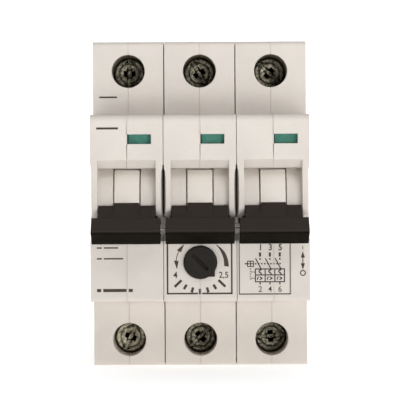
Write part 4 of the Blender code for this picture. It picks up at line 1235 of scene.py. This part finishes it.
def print_pole(sheet, column, upper, lower):
    """One pole: its two numbers, its contact with a travel mark, and its two releases."""
    sheet.digits(upper, column + 0.12, -9.6)
    sheet.line((column, -10.75), (column, -11.75), BOLD_LINE)
    sheet.arrow(column, -12.5, -11.95, 0.3)
    sheet.line((column - 1.1, -12.15), (column + 0.24, -14.7), THIN_LINE)
    thermal = ((0.25, -14.7), (0.25, -14.95), (-0.25, -15.1), (-0.25, -15.5), (0.25, -15.7), (0.25, -16.1))
    sheet.path([(column + x, z) for x, z in thermal], SYMBOL_LINE)
    sheet.line((column - 0.68, -17.3), (column - 0.42, -16.5), THIN_LINE)
    magnetic = ((-0.1, -16.6), (0.55, -16.95), (-0.1, -17.3))
    sheet.path([(column + x, z) for x, z in magnetic], THIN_LINE)
    sheet.line((column, -17.9), (column, -18.45), SYMBOL_LINE)
    sheet.digits(lower, column + 0.02, -19.6, 1.45, weight=0.01)


def print_release_grid(sheet, left, right):
    """The boxes round the poles' releases."""
    high, low = RELEASE_ROWS[0] + 0.13, RELEASE_ROWS[-1] - 0.13
    for row in RELEASE_ROWS:
        sheet.line((left, row), (right, row), THIN_LINE)
    for x in (left, COLUMNS[0] + 1.2, COLUMNS[1] + 1.18, right):
        sheet.line((x, high), (x, low), THIN_LINE)


def print_link(sheet, faint, start):
    """The manual drive's square, the dashed link to the contacts and the dashed lines to the releases."""
    dash, pitch = 0.19, 0.73
    for step in range(9):
        x = start + step * pitch
        sheet.line((x - dash, LINK_ROW), (x + dash, LINK_ROW), DASH_LINE + 0.01)
    left, right = -6.28, -4.86
    guide = (left + right) / 2
    for x in (left, right, guide):
        sheet.line((x, LINK_ROW - 0.74), (x, LINK_ROW + 0.68), FINE_LINE)
    for row in (LINK_ROW - 0.66, LINK_ROW, LINK_ROW + 0.62):
        sheet.line((left, row), (right, row), FINE_LINE)
    sheet.line((left - 0.7, LINK_ROW), (left, LINK_ROW), SYMBOL_LINE)
    for step in range(5):
        row = -14.55 - step * 0.6
        faint.line((guide, row), (guide, row - 0.3), DASH_LINE)
    for row in (-15.44, -16.95):
        for x in (guide + 0.2, guide + 0.7):
            faint.line((x, row), (x + 0.3, row), DASH_LINE)


def print_lever_travel(sheet, faint):
    """The travel arrow at the right: a stroke for on, two arrowheads and a ring for off."""
    x, half_width = 6.98, 0.5
    faint.line((x, -9.25), (x, -10.05), FINE_LINE)
    sheet.arrow(x, -12.05, -10.5, half_width)
    sheet.line((x, -12.0), (x, -13.5), FINE_LINE)
    sheet.arrow(x, -13.4, -14.95, half_width)
    sheet.band((x, -15.72), (0.46, 0.46), (0.72, 0.72), 0, 360, 28)


def print_circuit():
    """The circuit diagram of a three-pole breaker with thermal and magnetic releases."""
    sheet = Print("circuit_print", 3)
    faint = Print("circuit_faint_print", 3, surface="grey_ink")
    left, right, bottom, top = -8.27, 3.95, -20.72, -8.0
    sheet.line((left, top), (left, bottom - 0.12), FINE_LINE)
    sheet.line((left, bottom), (right, bottom), THIN_LINE)
    faint.line((right, top), (right, bottom - 0.12), DASH_LINE)
    for column, upper, lower in zip(COLUMNS, "135", "246"):
        print_pole(sheet, column, upper, lower)
    grid_left, grid_right = COLUMNS[0] - 1.12, COLUMNS[-1] + 1.1
    print_release_grid(sheet, grid_left, grid_right)
    print_link(sheet, faint, grid_left + 0.05)
    print_lever_travel(sheet, faint)
    sheet.finish()
    faint.finish()


def dashes(sheet, z, lengths, width, gap=0.5):
    """A row of plain strokes that stands where a line of writing was."""
    x = -7.2
    for length in lengths:
        sheet.line((x, z), (x + length, z), width)
        x += length + gap


def print_plain_marks():
    """Plain strokes in place of the writing on the left module and its shoulder."""
    sheet = Print("rating_marks_print", 1)
    dashes(sheet, 19.15, (5.2,), 0.5)
    dashes(sheet, -9.5, (1.2, 3.4), 0.34)
    dashes(sheet, -12.1, (1.2, 4.6), 0.34)
    dashes(sheet, -19.7, (1.0, 5.6, 1.0), 0.75)
    sheet.finish()
    shoulder = Print("shoulder_marks_print", 1, SHOULDER)
    dashes(shoulder, 27.4, (4.4,), 0.4)
    shoulder.finish()


# ---------------------------------------------------------------- stage, light and camera

def paper_material():
    """Pale seamless paper, whose even glow changes with depth from the camera to the backdrop."""
    glows = ((-0.2, 0.24), (-0.14, 0.5), (0.02, 0.5), (0.15, 0.9))
    colour = (0.9, 0.9, 0.9)
    nodes = Nodes("seamless_paper")
    fibre = nodes.noise(1.5, 3.0, 0.6)
    base = nodes.ramp(fibre, [(0.3, scaled(colour, 0.985)), (0.7, colour)])
    nodes.finish(base, 0.9, nodes.bump(fibre, 0.02, 0.2), specular=0.1)
    nodes.put(nodes.shader.inputs["Emission Color"], (1.0, 1.0, 1.0))
    nearest, farthest = glows[0][0], glows[-1][0]
    along = nodes.span(nodes.axis("Y"), 0.0, 1.0, nearest, farthest)
    stops = [((depth - nearest) / (farthest - nearest), (glow, glow, glow)) for depth, glow in glows]
    nodes.put(nodes.shader.inputs["Emission Strength"], nodes.ramp(along, stops))
    return nodes.material


def build_stage():
    """A pale floor that curves up into a backdrop, in metres."""
    floor = BOTTOM * MM
    half_width, front, back, height, radius = 3.0, -2.5, 1.6, 3.0, 0.6
    bend = arc((back - radius, floor + radius), radius, -90, 0, 12)
    profile = [(front, floor), *bend, (back, floor + height)]
    shape = bmesh.new()
    rows = [[shape.verts.new((x, y, z)) for x in centred(half_width)] for y, z in profile]
    for lower, upper in zip(rows, rows[1:]):
        shape.faces.new((*lower, *reversed(upper)))
    mesh = bpy.data.meshes.new("paper")
    shape.to_mesh(mesh)
    shape.free()
    mesh.shade_smooth()
    mesh.materials.append(paper_material())
    add_object("paper", mesh)


def area_light(name, spot, size, power, target=(0.0, -0.06, 0.0)):
    """A rectangular soft light, aimed at the front of the object unless told otherwise."""
    light = bpy.data.lights.new(name, "AREA")
    light.shape = "RECTANGLE"
    light.size, light.size_y = size
    light.energy = power
    lamp = add_object(name, light)
    lamp.location = spot
    lamp.visible_camera = False
    lamp.rotation_euler = (Vector(target) - lamp.location).to_track_quat("-Z", "Y").to_euler()


def build_light():
    """A narrow key from the right, three high lights in front, a bounce on the floor and a top panel."""
    high, bounce_depth, floor_gap = 0.7, -0.28, 0.0019
    area_light("key", (0.35, -0.85, 0.02), (0.4, 0.1), 2.1)
    area_light("high_left", (-0.30, -0.8, high), (0.3, 0.4), 0.5)
    area_light("high_middle", (0.0, -0.8, high), (0.12, 0.12), 0.3)
    area_light("high_right", (0.30, -0.8, high), (0.3, 0.4), 1.28)
    bounce = (0.0, bounce_depth, BOTTOM * MM + floor_gap)
    area_light("bounce", bounce, (0.8, 0.2), 0.93, (0.0, bounce_depth, 1.0))
    area_light("top", (0.0, -0.1, 0.5), (0.8, 0.5), 0.7, (0.0, -0.1, 0.0))
    world = bpy.data.worlds.new("studio")
    world.use_nodes = True
    background = world.node_tree.nodes["Background"]
    background.inputs["Color"].default_value = (1.0, 1.0, 1.0, 1.0)
    background.inputs["Strength"].default_value = 0.10
    bpy.context.scene.world = world
    bpy.context.scene.view_settings.view_transform = "Standard"


def build_camera():
    """A long lens straight in front, just above the toggles' axis."""
    distance, height, roll = 0.565, 1.89 * MM, math.radians(0.3)
    camera = bpy.data.cameras.new("camera")
    camera.lens = 189.6
    camera.sensor_width = 36.0
    camera.clip_start = 0.01
    eye = add_object("camera", camera)
    eye.location = (0.0, -distance, height)
    eye.rotation_euler = (math.radians(90), roll, 0.0)
    bpy.context.scene.camera = eye


build_camera()
build_shells()
build_levers()
build_dial()
build_screws()
build_clips()
build_rivets()
refine_inside()
print_dial_scale()
print_circuit()
print_plain_marks()
build_stage()
build_light()
